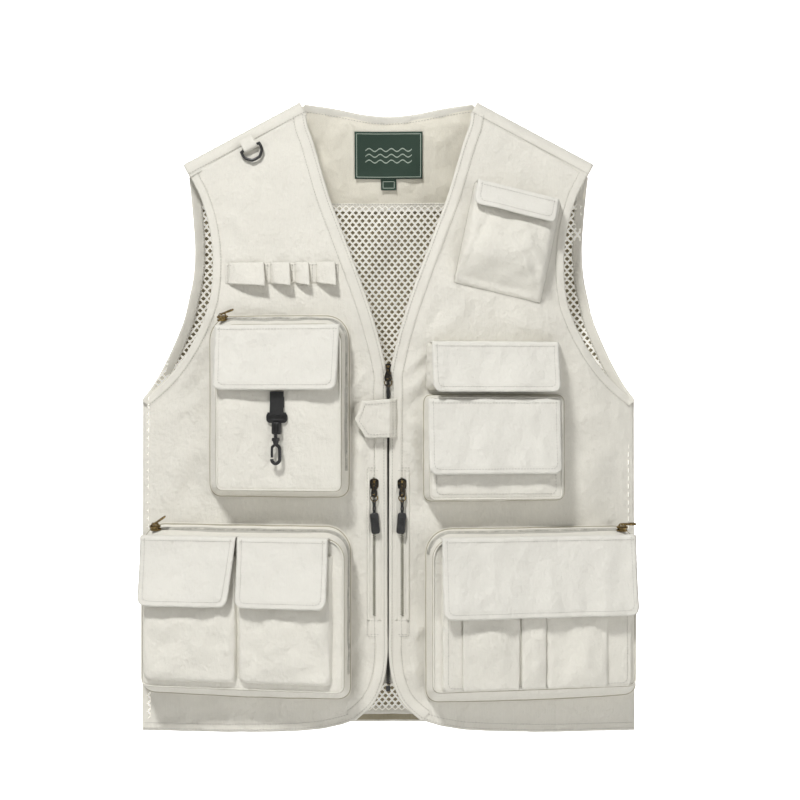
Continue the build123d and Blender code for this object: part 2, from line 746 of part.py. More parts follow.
finish(left_cargo_patch.part, "left_cargo_patch")
hooks = [(-56, 20, 44, 16), (40, 20, 44, 16)]
ledge = CARGO_INNER - CARGO_DEPTH - 0.6
part = flap(left_cargo, -110.4, 105.3, 87.0, 1, CARGO_INNER, 0, ledge, hooks)
finish(part, "left_cargo_flap")
for u, v, width, height in hooks:
    soft_half(left_cargo, u, v, width, height, CARGO_DEPTH + PATCH_DEPTH)

# Double pocket, on the wearer's left: two boxes, one above the other
UPPER_DEPTH, LOWER_DEPTH = 17.0, 21.0
upper = on_front(115.0, -295.0)
lower = on_front(115.0, -382.5)
with BuildPart() as double_pocket:
    add(box_pocket(upper, (152, 56), (142, 50), (-2, 0), UPPER_DEPTH))
    add(face_slot(upper, -2, 12, 124, 8, UPPER_DEPTH), mode=Mode.SUBTRACT)
    add(box_pocket(lower, (156, 114), (144, 108), (-2, 0), LOWER_DEPTH))
    add(face_slot(lower, -2, 40, 124, 8, LOWER_DEPTH), mode=Mode.SUBTRACT)
finish(double_pocket.part, "double_pocket")
hooks = [(-38, -14, 30, 12), (34, -14, 30, 12)]
finish(flap(upper, -72, 67.4, 27, -23, UPPER_DEPTH + FLAP_LIFT, 0, 0, hooks), "double_upper_flap")
for u, v, width, height in hooks:
    soft_half(upper, u, v, width, height, UPPER_DEPTH)
hooks = [(-38, -10, 30, 14), (34, -10, 30, 14)]
finish(flap(lower, -76.6, 68.6, 53.5, -27.5, LOWER_DEPTH + FLAP_LIFT, 0, 0, hooks), "double_lower_flap")
for u, v, width, height in hooks:
    soft_half(lower, u, v, width, height, LOWER_DEPTH)

# Slanted chest pocket, on the wearer's left
SLANT = -13.0
SLANT_DEPTH = 16.0
slanted = on_front(130.3, -158.5, SLANT)
with BuildPart() as slanted_pocket:
    add(box_pocket(slanted, (98, 116), (92, 108), (-2, 1), SLANT_DEPTH))
    add(face_slot(slanted, -2, 42, 76, 8, SLANT_DEPTH), mode=Mode.SUBTRACT)
finish(slanted_pocket.part, "slanted_pocket")
hooks = [(-3, 32, 34, 7)]
finish(flap(slanted, -48.6, 43.5, 56, 27, SLANT_DEPTH + FLAP_LIFT, 0, 0, hooks), "slanted_flap")
for u, v, width, height in hooks:
    soft_half(slanted, u, v, width, height, SLANT_DEPTH)

with BuildPart() as loop_patches:
    for patch in soft_halves:
        add(patch)
finish(loop_patches.part, "loop_patches")

# Tool loops: one strip of cloth on the right chest, standing off in four pleats
LOOP_SPANS = [(-175.0, -135.0), (-128.0, -107.0), (-101.0, -86.5), (-78.0, -57.5)]
LOOP_TOP, LOOP_BOTTOM = -182.0, -204.0
LOOP_CLOTH = 1.2
with BuildPart() as tool_loops:
    add(sheet(box_outline(-178, -54, LOOP_BOTTOM, LOOP_TOP), TRIM_LAYER))
    for x0, x1 in LOOP_SPANS:
        seat = on_front((x0 + x1) / 2, (LOOP_TOP + LOOP_BOTTOM) / 2)
        half = (x1 - x0) / 2
        out = 10.0 if half > 9 else 9.0
        profile = Plane(
            origin=seat.from_local_coords((0, LOOP_BOTTOM / 2 - LOOP_TOP / 2, 0.5)),
            x_dir=seat.x_dir,
            z_dir=seat.y_dir,
        )
        way = 1 if profile.to_local_coords(seat.from_local_coords((0, 0, 5))).Y > 0 else -1
        inner = half - LOOP_CLOTH
        with BuildSketch(profile):
            with BuildLine():
                ThreePointArc((-half, 0), (0, way * out), (half, 0))
                Line((half, 0), (inner, 0))
                ThreePointArc((inner, 0), (0, way * (out - LOOP_CLOTH)), (-inner, 0))
                Line((-inner, 0), (-half, 0))
            make_face()
        extrude(amount=LOOP_TOP - LOOP_BOTTOM)
finish(tool_loops.part, "tool_loops")

# The ring tab on the right shoulder and its D-ring
RING_WIRE_R = 1.6
RING_R = 10.2
RING_LEAN = degrees(atan(-TIP_Z / (TIP_X - NECK_HALF)))
ring_seat = on_front(-151.5, -54.0, RING_LEAN)
RING_OUT = 4.0
bar_start = Plane(
    origin=ring_seat.from_local_coords((-8, 0, RING_OUT)), x_dir=ring_seat.y_dir, z_dir=ring_seat.x_dir
)
with BuildPart() as ring_tab:
    with BuildSketch(ring_seat.offset(0.9)):
        with Locations((0, 6.5)):
            Rectangle(16, 13)
    extrude(amount=2.2)
    with BuildSketch(bar_start):
        Circle(RING_OUT - 0.9)
    extrude(amount=16)
    with BuildSketch(bar_start):
        Circle(RING_WIRE_R + BAR_CLEARANCE)
    extrude(amount=16, mode=Mode.SUBTRACT)
finish(ring_tab.part, "ring_tab")
with BuildPart() as d_ring:
    with BuildSketch(bar_start.offset(8 - RING_R)):
        Circle(RING_WIRE_R)
    extrude(amount=2 * RING_R)
    bow = Plane(
        origin=ring_seat.from_local_coords((0, 0, RING_OUT)), x_dir=ring_seat.x_dir, z_dir=ring_seat.y_dir
    )
    with BuildSketch(bow):
        with Locations((RING_R, 0), (-RING_R, 0)):
            Circle(RING_WIRE_R)
    extrude(amount=-4)
    with BuildSketch(bow.offset(-4)):
        with Locations((RING_R, 0)):
            Circle(RING_WIRE_R)
    revolve(
        axis=Axis(ring_seat.from_local_coords((0, -4, RING_OUT)), ring_seat.z_dir), revolution_arc=-180
    )
finish(d_ring.part, "d_ring")

# The placket tab: a five-sided tab hinged on the left front that closes over the main zip
TAB_HINGE_X = 10.0
TAB_OUT = 9.0
TAB_FOOT = 1.6
TAB_TOP, TAB_BOTTOM = -329.0, -371.5
front_y = skin_y(0, TAB_TOP)
with BuildPart() as placket_tab:
    with BuildSketch(Plane.XY.offset(TAB_BOTTOM)):
        with BuildLine():
            Polyline(
                (TAB_HINGE_X, front_y - TAB_FOOT),
                (4.8, front_y - TAB_OUT),
                (-38, front_y - TAB_OUT),
                (-38, front_y - TAB_OUT - FLAP),
                (4.0, front_y - TAB_OUT - FLAP),
                (TAB_HINGE_X + 1, front_y - TAB_FOOT - 1.2),
                (TAB_HINGE_X, front_y - TAB_FOOT),
            )
        make_face()
    extrude(amount=TAB_TOP - TAB_BOTTOM)
    with BuildSketch(Plane.XZ.offset(-front_y)):
        with BuildLine():
            Polyline(
                (TAB_HINGE_X + 2, TAB_TOP),
                (-28.5, TAB_TOP - 3),
                (-36, -353),
                (-24, TAB_BOTTOM),
                (TAB_HINGE_X + 2, TAB_BOTTOM),
                (TAB_HINGE_X + 2, TAB_TOP),
            )
        make_face()
    extrude(amount=20, mode=Mode.INTERSECT)
finish(placket_tab.part, "placket_tab")

# The bags of the two welt pockets, between the fronts and the lining
bag_layer = band(-11.0, -CLOTH - 4.4)
bag_hollow = band(-10.2, -CLOTH - 5.2)
with BuildPart() as welt_pocket_bags:
    for side in (-1, 1):
        x0, x1 = sorted((side * 24, side * 130))
        add(sheet(box_outline(x0, x1, -600, -410), bag_layer))
    for side in (-1, 1):
        x0, x1 = sorted((side * 10, side * 129))
        add(sheet(box_outline(x0, x1, -599, -411), bag_hollow), mode=Mode.SUBTRACT)
finish(welt_pocket_bags.part, "welt_pocket_bags")
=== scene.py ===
"""Fishing vest: cloth, trims, zips and clip-on hardware around its packed frame.

Places are in millimetres, X to the wearer's left, Z up and the front facing -Y, and become
metres where a point is made. Names with right and left are the wearer's sides.
"""

from math import asin, atan2, cos, exp, hypot, pi, radians, sin, sqrt

import bmesh
import bpy
from mathutils import Matrix, Vector, noise


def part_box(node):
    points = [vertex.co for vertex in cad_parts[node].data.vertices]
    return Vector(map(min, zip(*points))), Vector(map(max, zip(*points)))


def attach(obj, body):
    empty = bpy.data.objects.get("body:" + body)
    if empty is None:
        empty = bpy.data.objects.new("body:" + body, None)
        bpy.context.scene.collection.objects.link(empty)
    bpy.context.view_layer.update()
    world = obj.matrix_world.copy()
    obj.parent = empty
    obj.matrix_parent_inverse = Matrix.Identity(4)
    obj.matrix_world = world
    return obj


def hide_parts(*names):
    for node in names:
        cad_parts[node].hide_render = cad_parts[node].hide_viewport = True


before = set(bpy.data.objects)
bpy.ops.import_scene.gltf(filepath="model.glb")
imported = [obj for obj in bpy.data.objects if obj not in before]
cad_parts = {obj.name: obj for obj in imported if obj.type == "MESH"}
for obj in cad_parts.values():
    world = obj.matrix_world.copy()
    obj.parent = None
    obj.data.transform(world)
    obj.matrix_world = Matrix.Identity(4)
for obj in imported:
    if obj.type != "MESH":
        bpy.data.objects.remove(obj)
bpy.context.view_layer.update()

bl_info = {
    "name": "Fishing vest",
    "version": (1, 0, 0),
    "blender": (4, 5, 0),
    "location": "View3D > Sidebar > Vest",
    "description": "Builds a fishing vest's cloth, trims, zips and hardware",
    "category": "Add Mesh",
}

MM = 0.001
HALF_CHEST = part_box("back_panel")[1].x / MM
HEM_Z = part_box("back_panel")[0].z / MM
BULGE, SHOULDER_BULGE, FULL_BULGE_Z = 52.0, 8.0, -260.0
NECK_HALF, TIP_X, TIP_Z = 93.0, 222.0, -69.0
ARCH_R = 10.5
SIDE_SEAM = [(272.5, -332), (273, HEM_Z)]
FRONT_TOP = [(93, -14), (218, -83)]
FRONT_HEM = [(37, -677), (60, -684), (97, -689), (176, -693), (273, HEM_Z)]
FRONT_ARMHOLE = [
    (218, -83), (206, -107), (197, -135), (192, -165), (191.5, -195), (195, -224), (204, -249),
    (216, -272), (232, -295), (250, -314), (272.5, -332),
]
BACK_ARMHOLE = [
    (221, -83), (218, -113), (215.5, -146), (215, -170), (217, -195), (221, -215), (227, -241),
    (236, -265), (248, -292), (261, -316), (272.5, -332),
]
V_EDGE = [(93, -14), (90, -30), (83, -50), (66, -108), (50, -151), (20, -234), (4, -296)]
HEM_CURVE = [(2, -606), (5, -630), (12, -650), (22, -664), (37, -677)]
FRONT_EDGE = [
    *V_EDGE, (3.2, -322), (2.6, -352), (2.4, -410), (2.2, -470), (2.1, -530), (2, -575), *HEM_CURVE,
]
BACK_NECK = [(-94, -3), (-78, -5), (-58, -8), (-30, -13.5), (0, -16), (30, -13.5), (58, -8), (78, -5),
             (94, -3)]
BACK_TOP = [(-221, -83), *BACK_NECK, (221, -83)]
YOKE_Z = -113.0
MAIN_TOP, MAIN_BOTTOM, MAIN_DEPTH, MAIN_PIN = -279.0, -640.0, -5.0, 8.6
SLIDER_AT = 18.5
WELT_X, WELT_TOP, WELT_BOTTOM, WELT_DEPTH, WELT_PIN = 15.0, -412.0, -566.0, -2.6, 6.0
WELT_SLIDER_AT = 8.0
CORD_START, CORD_LENGTH, GRIP_LENGTH, MAIN_CORD = 16.2, 16.0, 21.0, 13.6
LINE_STEPS = 1.2  # millimetres between the points of a zip's path
OPEN_STEPS = 12  # steps of the main zip's path that lie open above its slider
GUSSET_TOOTH = (0.8, 1.7, 1.2)


# The body's surface

def limit(value, low=0.0, high=1.0):
    return min(high, max(low, value))


def skin_arc(z):
    """How far the smooth front bulges at a height, and the radius of its arc."""
    rise = SHOULDER_BULGE + (BULGE - SHOULDER_BULGE) * sin(limit(z / FULL_BULGE_Z) * pi / 2)
    return rise, (HALF_CHEST**2 + rise**2) / (2 * rise)


def skin_y(x, z, out=0.0):
    """Y of the smooth front, or of the surface a distance out from it."""
    rise, radius = skin_arc(z)
    return radius - rise - sqrt((radius + out) ** 2 - x * x)


def crumple(x, z, seed, size, height):
    """Soft random wrinkles of about one size."""
    return height * noise.noise(Vector((x / size, z / size, seed * 7.3)))


# Where the cloth of the fronts is pulled: start, end, half width and height
FOLDS = [
    (-235, -330, -196, -262, 9, 1.9), (-246, -350, -205, -330, 8, 1.4),
    (-120, -70, -96, -170, 13, -1.5), (-165, -95, -150, -170, 15, 1.3),
    (-262, -460, -215, -372, 11, 1.6), (-230, -455, -206, -395, 8, -1.2),
    (-44, -215, -24, -300, 9, 1.3), (-70, -190, -52, -260, 10, -1.3),
    (-30, -600, -62, -560, 8, 1.4), (-26, -640, -52, -668, 7, 1.3),
    (-28, -350, -32, -430, 6, 1.2), (-190, -225, -110, -232, 8, 1.3),
    (238, -335, 202, -262, 9, 1.9), (250, -352, 206, -348, 8, 1.3),
    (70, -110, 46, -200, 11, 1.6), (92, -215, 60, -262, 8, 1.4), (60, -225, 40, -262, 6, -1.3),
    (120, -240, 190, -262, 9, 1.5), (150, -215, 205, -238, 8, -1.2),
    (214, -460, 232, -380, 11, 1.6), (247, -452, 258, -372, 8, -1.2),
    (28, -600, 34, -560, 7, 1.3), (24, -350, 30, -438, 7, 1.4), (30, -330, 40, -300, 6, 1.0),
    (110, -40, 180, -88, 12, -1.2), (40, -640, 24, -612, 6, 1.3),
    (-22, -298, -54, -334, 5, 1.9), (-18, -322, -50, -346, 4, -1.4), (-24, -395, -36, -372, 5, 1.5),
    (16, -302, 50, -272, 5, 2.0), (18, -326, 52, -292, 5, 1.9), (18, -340, 46, -318, 4, -1.5),
    (18, -350, 46, -368, 5, 1.8), (18, -378, 42, -406, 5, 1.9), (24, -592, 48, -564, 5, 1.8),
    (22, -612, 36, -640, 5, 1.5), (-24, -575, -44, -606, 5, 1.6), (-22, -640, -40, -620, 5, 1.5),
    (60, -196, 88, -232, 6, 1.5), (196, -120, 160, -150, 8, 1.3), (-190, -120, -150, -146, 8, 1.2),
]


def fold_rise(x, z):
    """The height of the fronts' pulled folds at a place."""
    rise = 0.0
    for x0, z0, x1, z1, half, height in FOLDS:
        if abs(x - (x0 + x1) / 2) > 90 or abs(z - (z0 + z1) / 2) > 110:
            continue
        run_x, run_z = x1 - x0, z1 - z0
        length = run_x**2 + run_z**2
        t = ((x - x0) * run_x + (z - z0) * run_z) / length
        if -0.2 < t < 1.2:
            off = abs((x - x0) * run_z - (z - z0) * run_x) / sqrt(length)
            rise += 1.7 * height * exp(-((off / half) ** 2)) * sin(pi * (t + 0.2) / 1.4) ** 2
    return rise


def slider_way(x, z):
    """1 where the welt sliders and their grips travel, so that the cloth lies flat there."""
    beside = (14 - abs(abs(x) - WELT_X)) / 5
    along = (110 - abs(z + 515)) / 10
    return limit(min(beside, along))


def ease(x, z, back=False):
    """How far the cloth stands out of its smooth shape."""
    seed = 3 if back else 0
    rise = crumple(x, z * 0.55, 1 + seed, 74, 3.2) + crumple(x, z * 0.7, 2 + seed, 27, 1.5)
    rise += crumple(x, z, 4 + seed, 11, 0.45)
    if not back:
        rise += fold_rise(x, z)
        rise -= slider_way(x, z) * max(0.0, rise + 0.3)
    puckers = max(0.0, 1 - abs(z - HEM_Z - 14) / 26)
    rise += puckers * 0.8 * sin(x / 4.1 + 2.2 * noise.noise(Vector((x / 30, seed, 0))))
    return rise * (1 - min(1.0, abs(x) / HALF_CHEST) ** 10) * min(1.0, max(0.0, -z / 60) + 0.15)


def body_point(x, z, out=0.0, back=False):
    """A point of the cloth's outer face, or a distance out from it, in metres."""
    x = limit(x, -HALF_CHEST, HALF_CHEST)
    y = skin_y(x, z, out + ease(x, z, back))
    return Vector((x, -y if back else y, z)) * MM


def body_out(x, z, back=False):
    """The outward direction of the smooth body."""
    slope = (skin_y(x + 1, z) - skin_y(x - 1, z)) / 2
    rise = (skin_y(x, z + 1) - skin_y(x, z - 1)) / 2
    out = Vector((slope, -1, rise)).normalized()
    return Vector((out.x, -out.y, out.z)) if back else out


class Seat:
    """A flat place on the front: u along the cloth, v up it and w outwards, in millimetres."""

    def __init__(self, x, z, turn=0.0):
        slope_x = (skin_y(x + 1, z) - skin_y(x - 1, z)) / 2
        slope_z = 0.0 if z < FULL_BULGE_Z else (skin_y(x, z + 1) - skin_y(x, z - 1)) / 2
        self.origin = Vector((x, skin_y(x, z), z))
        self.w = Vector((slope_x, -1, slope_z)).normalized()
        along = Vector((1, slope_x, 0)).normalized()
        up = self.w.cross(along)
        self.u = along * cos(radians(turn)) + up * sin(radians(turn))
        self.v = self.w.cross(self.u)

    def at(self, u, v, w=0.0):
        """A point in metres."""
        return (self.origin + self.u * u + self.v * v + self.w * w) * MM

    def matrix(self, u=0.0, v=0.0, w=0.0):
        """Millimetres in this seat's own directions, from a point of it, to metres."""
        turn = Matrix((self.u, self.v, self.w)).transposed().to_4x4()
        return Matrix.Translation(self.at(u, v, w)) @ turn @ Matrix.Scale(MM, 4)


def line_matrix(origin, travel, out):
    """Millimetres along a zip's travel, across it and out of it, to metres."""
    across = out.cross(travel)
    turn = Matrix((travel, across, out)).transposed().to_4x4()
    return Matrix.Translation(origin) @ turn @ Matrix.Scale(MM, 4)


# Materials

class Nodes:
    """Shorthand for a material's node tree."""

    def __init__(self, name, roughness, metallic=0.0, sheen=0.0, coat=0.0):
        self.material = bpy.data.materials.new(name)
        self.material.use_nodes = True
        self.tree = self.material.node_tree
        self.shader = self.tree.nodes["Principled BSDF"]
        self.shader.inputs["Roughness"].default_value = roughness
        self.shader.inputs["Metallic"].default_value = metallic
        self.shader.inputs["Sheen Weight"].default_value = sheen
        self.shader.inputs["Coat Weight"].default_value = coat
        coords = self.tree.nodes.new("ShaderNodeTexCoord")
        self.object = coords.outputs["Object"]

    def put(self, socket, value):
        """Sets a socket, or links an output to it."""
        if isinstance(value, bpy.types.NodeSocket):
            self.tree.links.new(value, socket)
        else:
            socket.default_value = value

    def math(self, operation, a, b=0.0):
        node = self.tree.nodes.new("ShaderNodeMath")
        node.operation = operation
        self.put(node.inputs[0], a)
        self.put(node.inputs[1], b)
        return node.outputs[0]

    def noise(self, scale, detail=3.0, stretch=None):
        vector = self.object
        if stretch:
            mapping = self.tree.nodes.new("ShaderNodeMapping")
            self.put(mapping.inputs["Vector"], vector)
            mapping.inputs["Scale"].default_value = stretch
            vector = mapping.outputs[0]
        node = self.tree.nodes.new("ShaderNodeTexNoise")
        self.put(node.inputs["Vector"], vector)
        node.inputs["Scale"].default_value = scale
        node.inputs["Detail"].default_value = detail
        return node.outputs["Fac"]

    def mix(self, share, a, b):
        node = self.tree.nodes.new("ShaderNodeMix")
        node.data_type = "RGBA"
        self.put(node.inputs["Factor"], share)
        self.put(node.inputs[6], a)
        self.put(node.inputs[7], b)
        return node.outputs[2]

    def ramp(self, value, low, high):
        """Stretches a value between two limits to 0 and 1."""
        node = self.tree.nodes.new("ShaderNodeMapRange")
        self.put(node.inputs["Value"], value)
        node.inputs["From Min"].default_value = low
        node.inputs["From Max"].default_value = high
        return node.outputs[0]

    def bump(self, height, distance, strength=1.0, under=None):
        node = self.tree.nodes.new("ShaderNodeBump")
        self.put(node.inputs["Height"], height)
        node.inputs["Distance"].default_value = distance
        node.inputs["Strength"].default_value = strength
        if under is not None:
            self.put(node.inputs["Normal"], under)
        return node.outputs[0]

    def threads(self, pitch):
        """Warp and weft heights of a plain weave that reads on faces of every direction."""
        split = self.tree.nodes.new("ShaderNodeSeparateXYZ")
        self.put(split.inputs[0], self.object)
        x, y, z = split.outputs
        turns = 2 * pi / (pitch * MM)
        warp = self.math("SINE", self.math("MULTIPLY", self.math("ADD", x, y), turns))
        weft = self.math("SINE", self.math("MULTIPLY", self.math("ADD", z, y), turns))
        return warp, weft

    def done(self, colour, normal=None):
        self.put(self.shader.inputs["Base Color"], colour)
        if normal is not None:
            self.put(self.shader.inputs["Normal"], normal)
        return self.material


def rgba(colour, gain=1.0):
    return (*[min(1.0, c * gain) for c in colour[:3]], 1.0)


def woven(name, colour, pitch=0.55, weave=0.00007, crinkle=0.0026, tone=0.05, painted_glow=0.0):
    """Plain weave with slubs, a soft crinkle, uneven dye and some light that comes through it."""
    n = Nodes(name, roughness=0.86, sheen=0.12)
    # Painted glow: the cloth emits its own colour, standing in for light that comes through it.
    n.shader.inputs["Emission Color"].default_value = rgba(colour)
    n.shader.inputs["Emission Strength"].default_value = painted_glow
    warp, weft = n.threads(pitch)
    cloth = n.math("ADD", n.math("ABSOLUTE", warp), n.math("ABSOLUTE", weft))
    slub = n.noise(900, 2.0, (1.0, 1.0, 0.12))
    clouds = n.noise(19, 3.0)
    creases = n.noise(70, 4.0, (1.0, 1.0, 0.7))
    shade = n.ramp(n.math("ADD", clouds, n.math("MULTIPLY", slub, 0.6)), 0.55, 1.05)
    tint = n.mix(shade, rgba(colour, 1 - tone), rgba(colour, 1 + tone))
    # Darker between the threads: partly the gaps in the weave, partly painted shade in its hollows.
    low = n.mix(n.ramp(cloth, 0.2, 1.4), rgba(colour, 0.86), tint)
    normal = n.bump(creases, crinkle * 1.35, 0.8)
    normal = n.bump(n.noise(230, 4.0), crinkle * 0.42, 0.85, normal)
    normal = n.bump(slub, 0.00012, 0.6, normal)
    normal = n.bump(cloth, weave, 0.8, normal)
    return n.done(low, normal)


def moulded(name, colour, roughness=0.42, grain=0.00006):
    """Injection-moulded plastic or rubber with a fine grain and handled edges."""
    n = Nodes(name, roughness=roughness, coat=0.08)
    fine = n.noise(2600, 2.0)
    wear = n.noise(160, 4.0)
    tint = n.mix(n.ramp(wear, 0.35, 0.75), rgba(colour, 0.8), rgba(colour, 1.7))
    return n.done(tint, n.bump(fine, grain, 0.6, n.bump(wear, 0.0002, 0.3)))


def plated(name, colour, worn, roughness=0.34, metallic=1.0):
    """Plated or painted metal, darker in its hollows and rubbed bright where it is handled."""
    n = Nodes(name, roughness=roughness, metallic=metallic)
    patch = n.noise(420, 5.0)
    fine = n.noise(3000, 2.0)
    tint = n.mix(n.ramp(patch, 0.48, 0.68), rgba(colour), rgba(worn))
    return n.done(tint, n.bump(fine, 0.00005, 0.5, n.bump(patch, 0.00012, 0.5)))


def ribbed(name, colour, pitch):
    """Webbing with ribs across it."""
    n = Nodes(name, roughness=0.8, sheen=0.1)
    warp, weft = n.threads(pitch)
    ribs = n.math("ADD", n.math("MULTIPLY", weft, 0.8), n.math("MULTIPLY", warp, 0.5))
    # The grooves are darker and the ribs lighter: partly the yarn, partly painted shade and highlight on
    # the ribs.
    tint = n.mix(n.ramp(ribs, -0.9, 0.9), rgba(colour, 0.6), rgba(colour, 1.8))
    return n.done(tint, n.bump(ribs, 0.0003, 0.9))


def pile(name, colour):
    """The brushed loops of a touch fastener."""
    n = Nodes(name, roughness=0.95, sheen=0.3)
    loops = n.noise(1500, 3.0)
    tint = n.mix(loops, rgba(colour, 0.7), rgba(colour, 1.15))
    return n.done(tint, n.bump(loops, 0.0006, 1.0))


def label_weave(name, field, thread, box_low, box_high):
    """A damask label: a dark field with a pale border line and three rows of waves."""
    n = Nodes(name, roughness=0.6, sheen=0.15)
    split = n.tree.nodes.new("ShaderNodeSeparateXYZ")
    n.put(split.inputs[0], n.object)
    x, _, z = split.outputs
    warp, weft = n.threads(0.5)
    width, height = box_high.x - box_low.x, box_high.z - box_low.z
    middle = (box_low.x + box_high.x) / 2, (box_low.z + box_high.z) / 2
    off_x = n.math("ABSOLUTE", n.math("SUBTRACT", x, middle[0]))
    off_z = n.math("ABSOLUTE", n.math("SUBTRACT", z, middle[1]))
    inset = 0.0022
    edge_x = n.math("ABSOLUTE", n.math("SUBTRACT", off_x, width / 2 - inset))
    edge_z = n.math("ABSOLUTE", n.math("SUBTRACT", off_z, height / 2 - inset))
    inside_x = n.math("LESS_THAN", off_x, width / 2 - inset)
    inside_z = n.math("LESS_THAN", off_z, height / 2 - inset)
    line = 0.00035
    border = n.math(
        "MAXIMUM",
        n.math("MULTIPLY", n.math("LESS_THAN", edge_x, line), inside_z),
        n.math("MULTIPLY", n.math("LESS_THAN", edge_z, line), inside_x),
    )
    art = border
    if width > 0.04:
        swell = n.math("MULTIPLY", n.math("SINE", n.math("MULTIPLY", x, 2 * pi / 0.0125)), 0.0016)
        within = n.math("LESS_THAN", off_x, width / 2 - 0.012)
        for step in (-1, 0, 1):
            row = n.math("SUBTRACT", z, middle[1] + step * 0.0062)
            wave = n.math("ABSOLUTE", n.math("SUBTRACT", row, swell))
            art = n.math("MAXIMUM", art, n.math("MULTIPLY", n.math("LESS_THAN", wave, 0.0006), within))
    grain = n.math("ADD", warp, weft)
    ground = n.mix(n.ramp(grain, -1.6, 1.6), rgba(field, 0.7), rgba(field, 1.35))
    return n.done(n.mix(art, ground, rgba(thread)), n.bump(grain, 0.00008, 0.8))


def plain_stage(name, colour, glow):
    """The pale floor and backdrop, which glows where it rises behind the vest."""
    n = Nodes(name, roughness=0.9)
    split = n.tree.nodes.new("ShaderNodeSeparateXYZ")
    n.put(split.inputs[0], n.object)
    behind = n.ramp(split.outputs[1], 0.5, 1.4)
    n.shader.inputs["Emission Color"].default_value = rgba(colour)
    seen = n.tree.nodes.new("ShaderNodeLightPath").outputs["Is Camera Ray"]
    seen = n.math("ADD", n.math("MULTIPLY", seen, 0.8), 0.2)
    n.put(n.shader.inputs["Emission Strength"], n.math("MULTIPLY", n.math("MULTIPLY", behind, glow), seen))
    return n.done(rgba(colour))


finishes = {}


# Making pieces

def into_object(bm, name, body, finish, node=(), thick=0.0, smooth=True):
    """Writes a mesh as a finished piece that rides on a body."""
    mesh = bpy.data.meshes.new(name)
    bm.to_mesh(mesh)
    bm.free()
    piece = bpy.data.objects.new(name, mesh)
    bpy.context.scene.collection.objects.link(piece)
    mesh.materials.append(finishes[finish])
    for face in mesh.polygons:
        face.use_smooth = smooth
    if thick:
        wall = piece.modifiers.new("thickness", "SOLIDIFY")
        wall.thickness = thick * MM
        wall.offset = -1.0
        wall.use_even_offset = False
    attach(piece, body)
    for n in [node] if isinstance(node, str) else node:
        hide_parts(n)
    return piece


def grid(across, along, place):
    """A grid of cloth whose points are put in place from their shares across and along it."""
    bm = bmesh.new()
    bmesh.ops.create_grid(bm, x_segments=across, y_segments=along, size=0.5)
    for vert in bm.verts:
        vert.co = place(vert.co.x + 0.5, vert.co.y + 0.5)
    return bm


def run(points, smooth=True):
    """A path through points, as a function of the share of its length."""
    path = [Vector((*p, 0.0)) if len(p) == 2 else Vector(p) for p in points]
    if smooth and len(path) > 2:
        ends = [path[0] * 2 - path[1], *path, path[-1] * 2 - path[-2]]
        path = []
        for a, b, c, d in zip(ends, ends[1:], ends[2:], ends[3:]):
            for k in range(6):
                t = k / 6
                path.append(
                    0.5 * (2 * b + (c - a) * t + (2 * a - 5 * b + 4 * c - d) * t**2
                           + (3 * b - a - 3 * c + d) * t**3)
                )
        path.append(ends[-2])
    marks = [0.0]
    for a, b in zip(path, path[1:]):
        marks.append(marks[-1] + (b - a).length)
    total = marks[-1]

    def at(share):
        goal = limit(share) * total
        low, high = 0, len(marks) - 1
        while high - low > 1:
            middle = (low + high) // 2
            if marks[middle] <= goal:
                low = middle
            else:
                high = middle
        span = marks[high] - marks[low] or 1.0
        return path[low].lerp(path[high], (goal - marks[low]) / span)

    at.length = total
    return at


def coons(top, bottom, left, right):
    """The flat shape between four edges: top and bottom go left to right, the sides go down."""

    def at(across, down):
        corner = (
            top(0.0) * (1 - across) * (1 - down) + top(1.0) * across * (1 - down)
            + bottom(0.0) * (1 - across) * down + bottom(1.0) * across * down
        )
        return (
            top(across) * (1 - down) + bottom(across) * down
            + left(down) * (1 - across) + right(down) * across - corner
        )

    return at


def sided(points, side):
    """Points given for the wearer's left, on either side."""
    return [(side * x, z) for x, z in points]


def bars(bm, path, size, pitch, shape="cube", skew=0.0):
    """Small like pieces set along a path of (point, outward) pairs: stitches or teeth."""
    length, width, height = size
    count = 0
    left = pitch / 2
    for (a, out), (b, _) in zip(path, path[1:]):
        step = (b - a).length
        if step < 1e-9:
            continue
        along = (b - a) / step
        across = out.cross(along).normalized()
        while left <= step:
            middle = a + along * left
            turn = Matrix((along, across, out)).transposed().to_4x4()
            place = Matrix.Translation(middle + across * skew * (1 if count % 2 else -1)) @ turn
            scale = Matrix.Diagonal((length, width, height, 1.0))
            if shape == "cube":
                bmesh.ops.create_cube(bm, size=1.0, matrix=place @ scale)
            else:
                bmesh.ops.create_icosphere(bm, subdivisions=1, radius=0.5, matrix=place @ scale)
            left += pitch
            count += 1
        left -= step


def sew(name, body, lines):
    """Rows of stitches; a line is a list of (point, outward) pairs in metres."""
    sizes = bpy.context.scene.vest_sizes
    thread = (sizes.stitch, 0.62 * MM, 0.5 * MM)
    bm = bmesh.new()
    for line in lines:
        bars(bm, line, thread, sizes.stitch_pitch, shape="ball")
    return into_object(bm, name, body, "thread")


def turned_in(line):
    """A line of (point, outward) pairs that faces the inside of the vest."""
    return [(p, -out) for p, out in line]


def body_line(points, out=0.5, back=False, smooth=True, offset=0.0):
    """A line on the body's cloth, as (point, outward) pairs, moved sideways by an offset."""
    at = run(points, smooth)
    steps = max(2, int(at.length / 3))
    line = []
    for k in range(steps + 1):
        p = at(k / steps)
        if offset:
            ahead, behind = at(min(1, k / steps + 0.01)), at(max(0, k / steps - 0.01))
            way = (ahead - behind).normalized()
            p = p + Vector((-way.y, way.x, 0)) * offset
        line.append((body_point(p.x, p.y, out, back), body_out(p.x, p.y, back)))
    return line


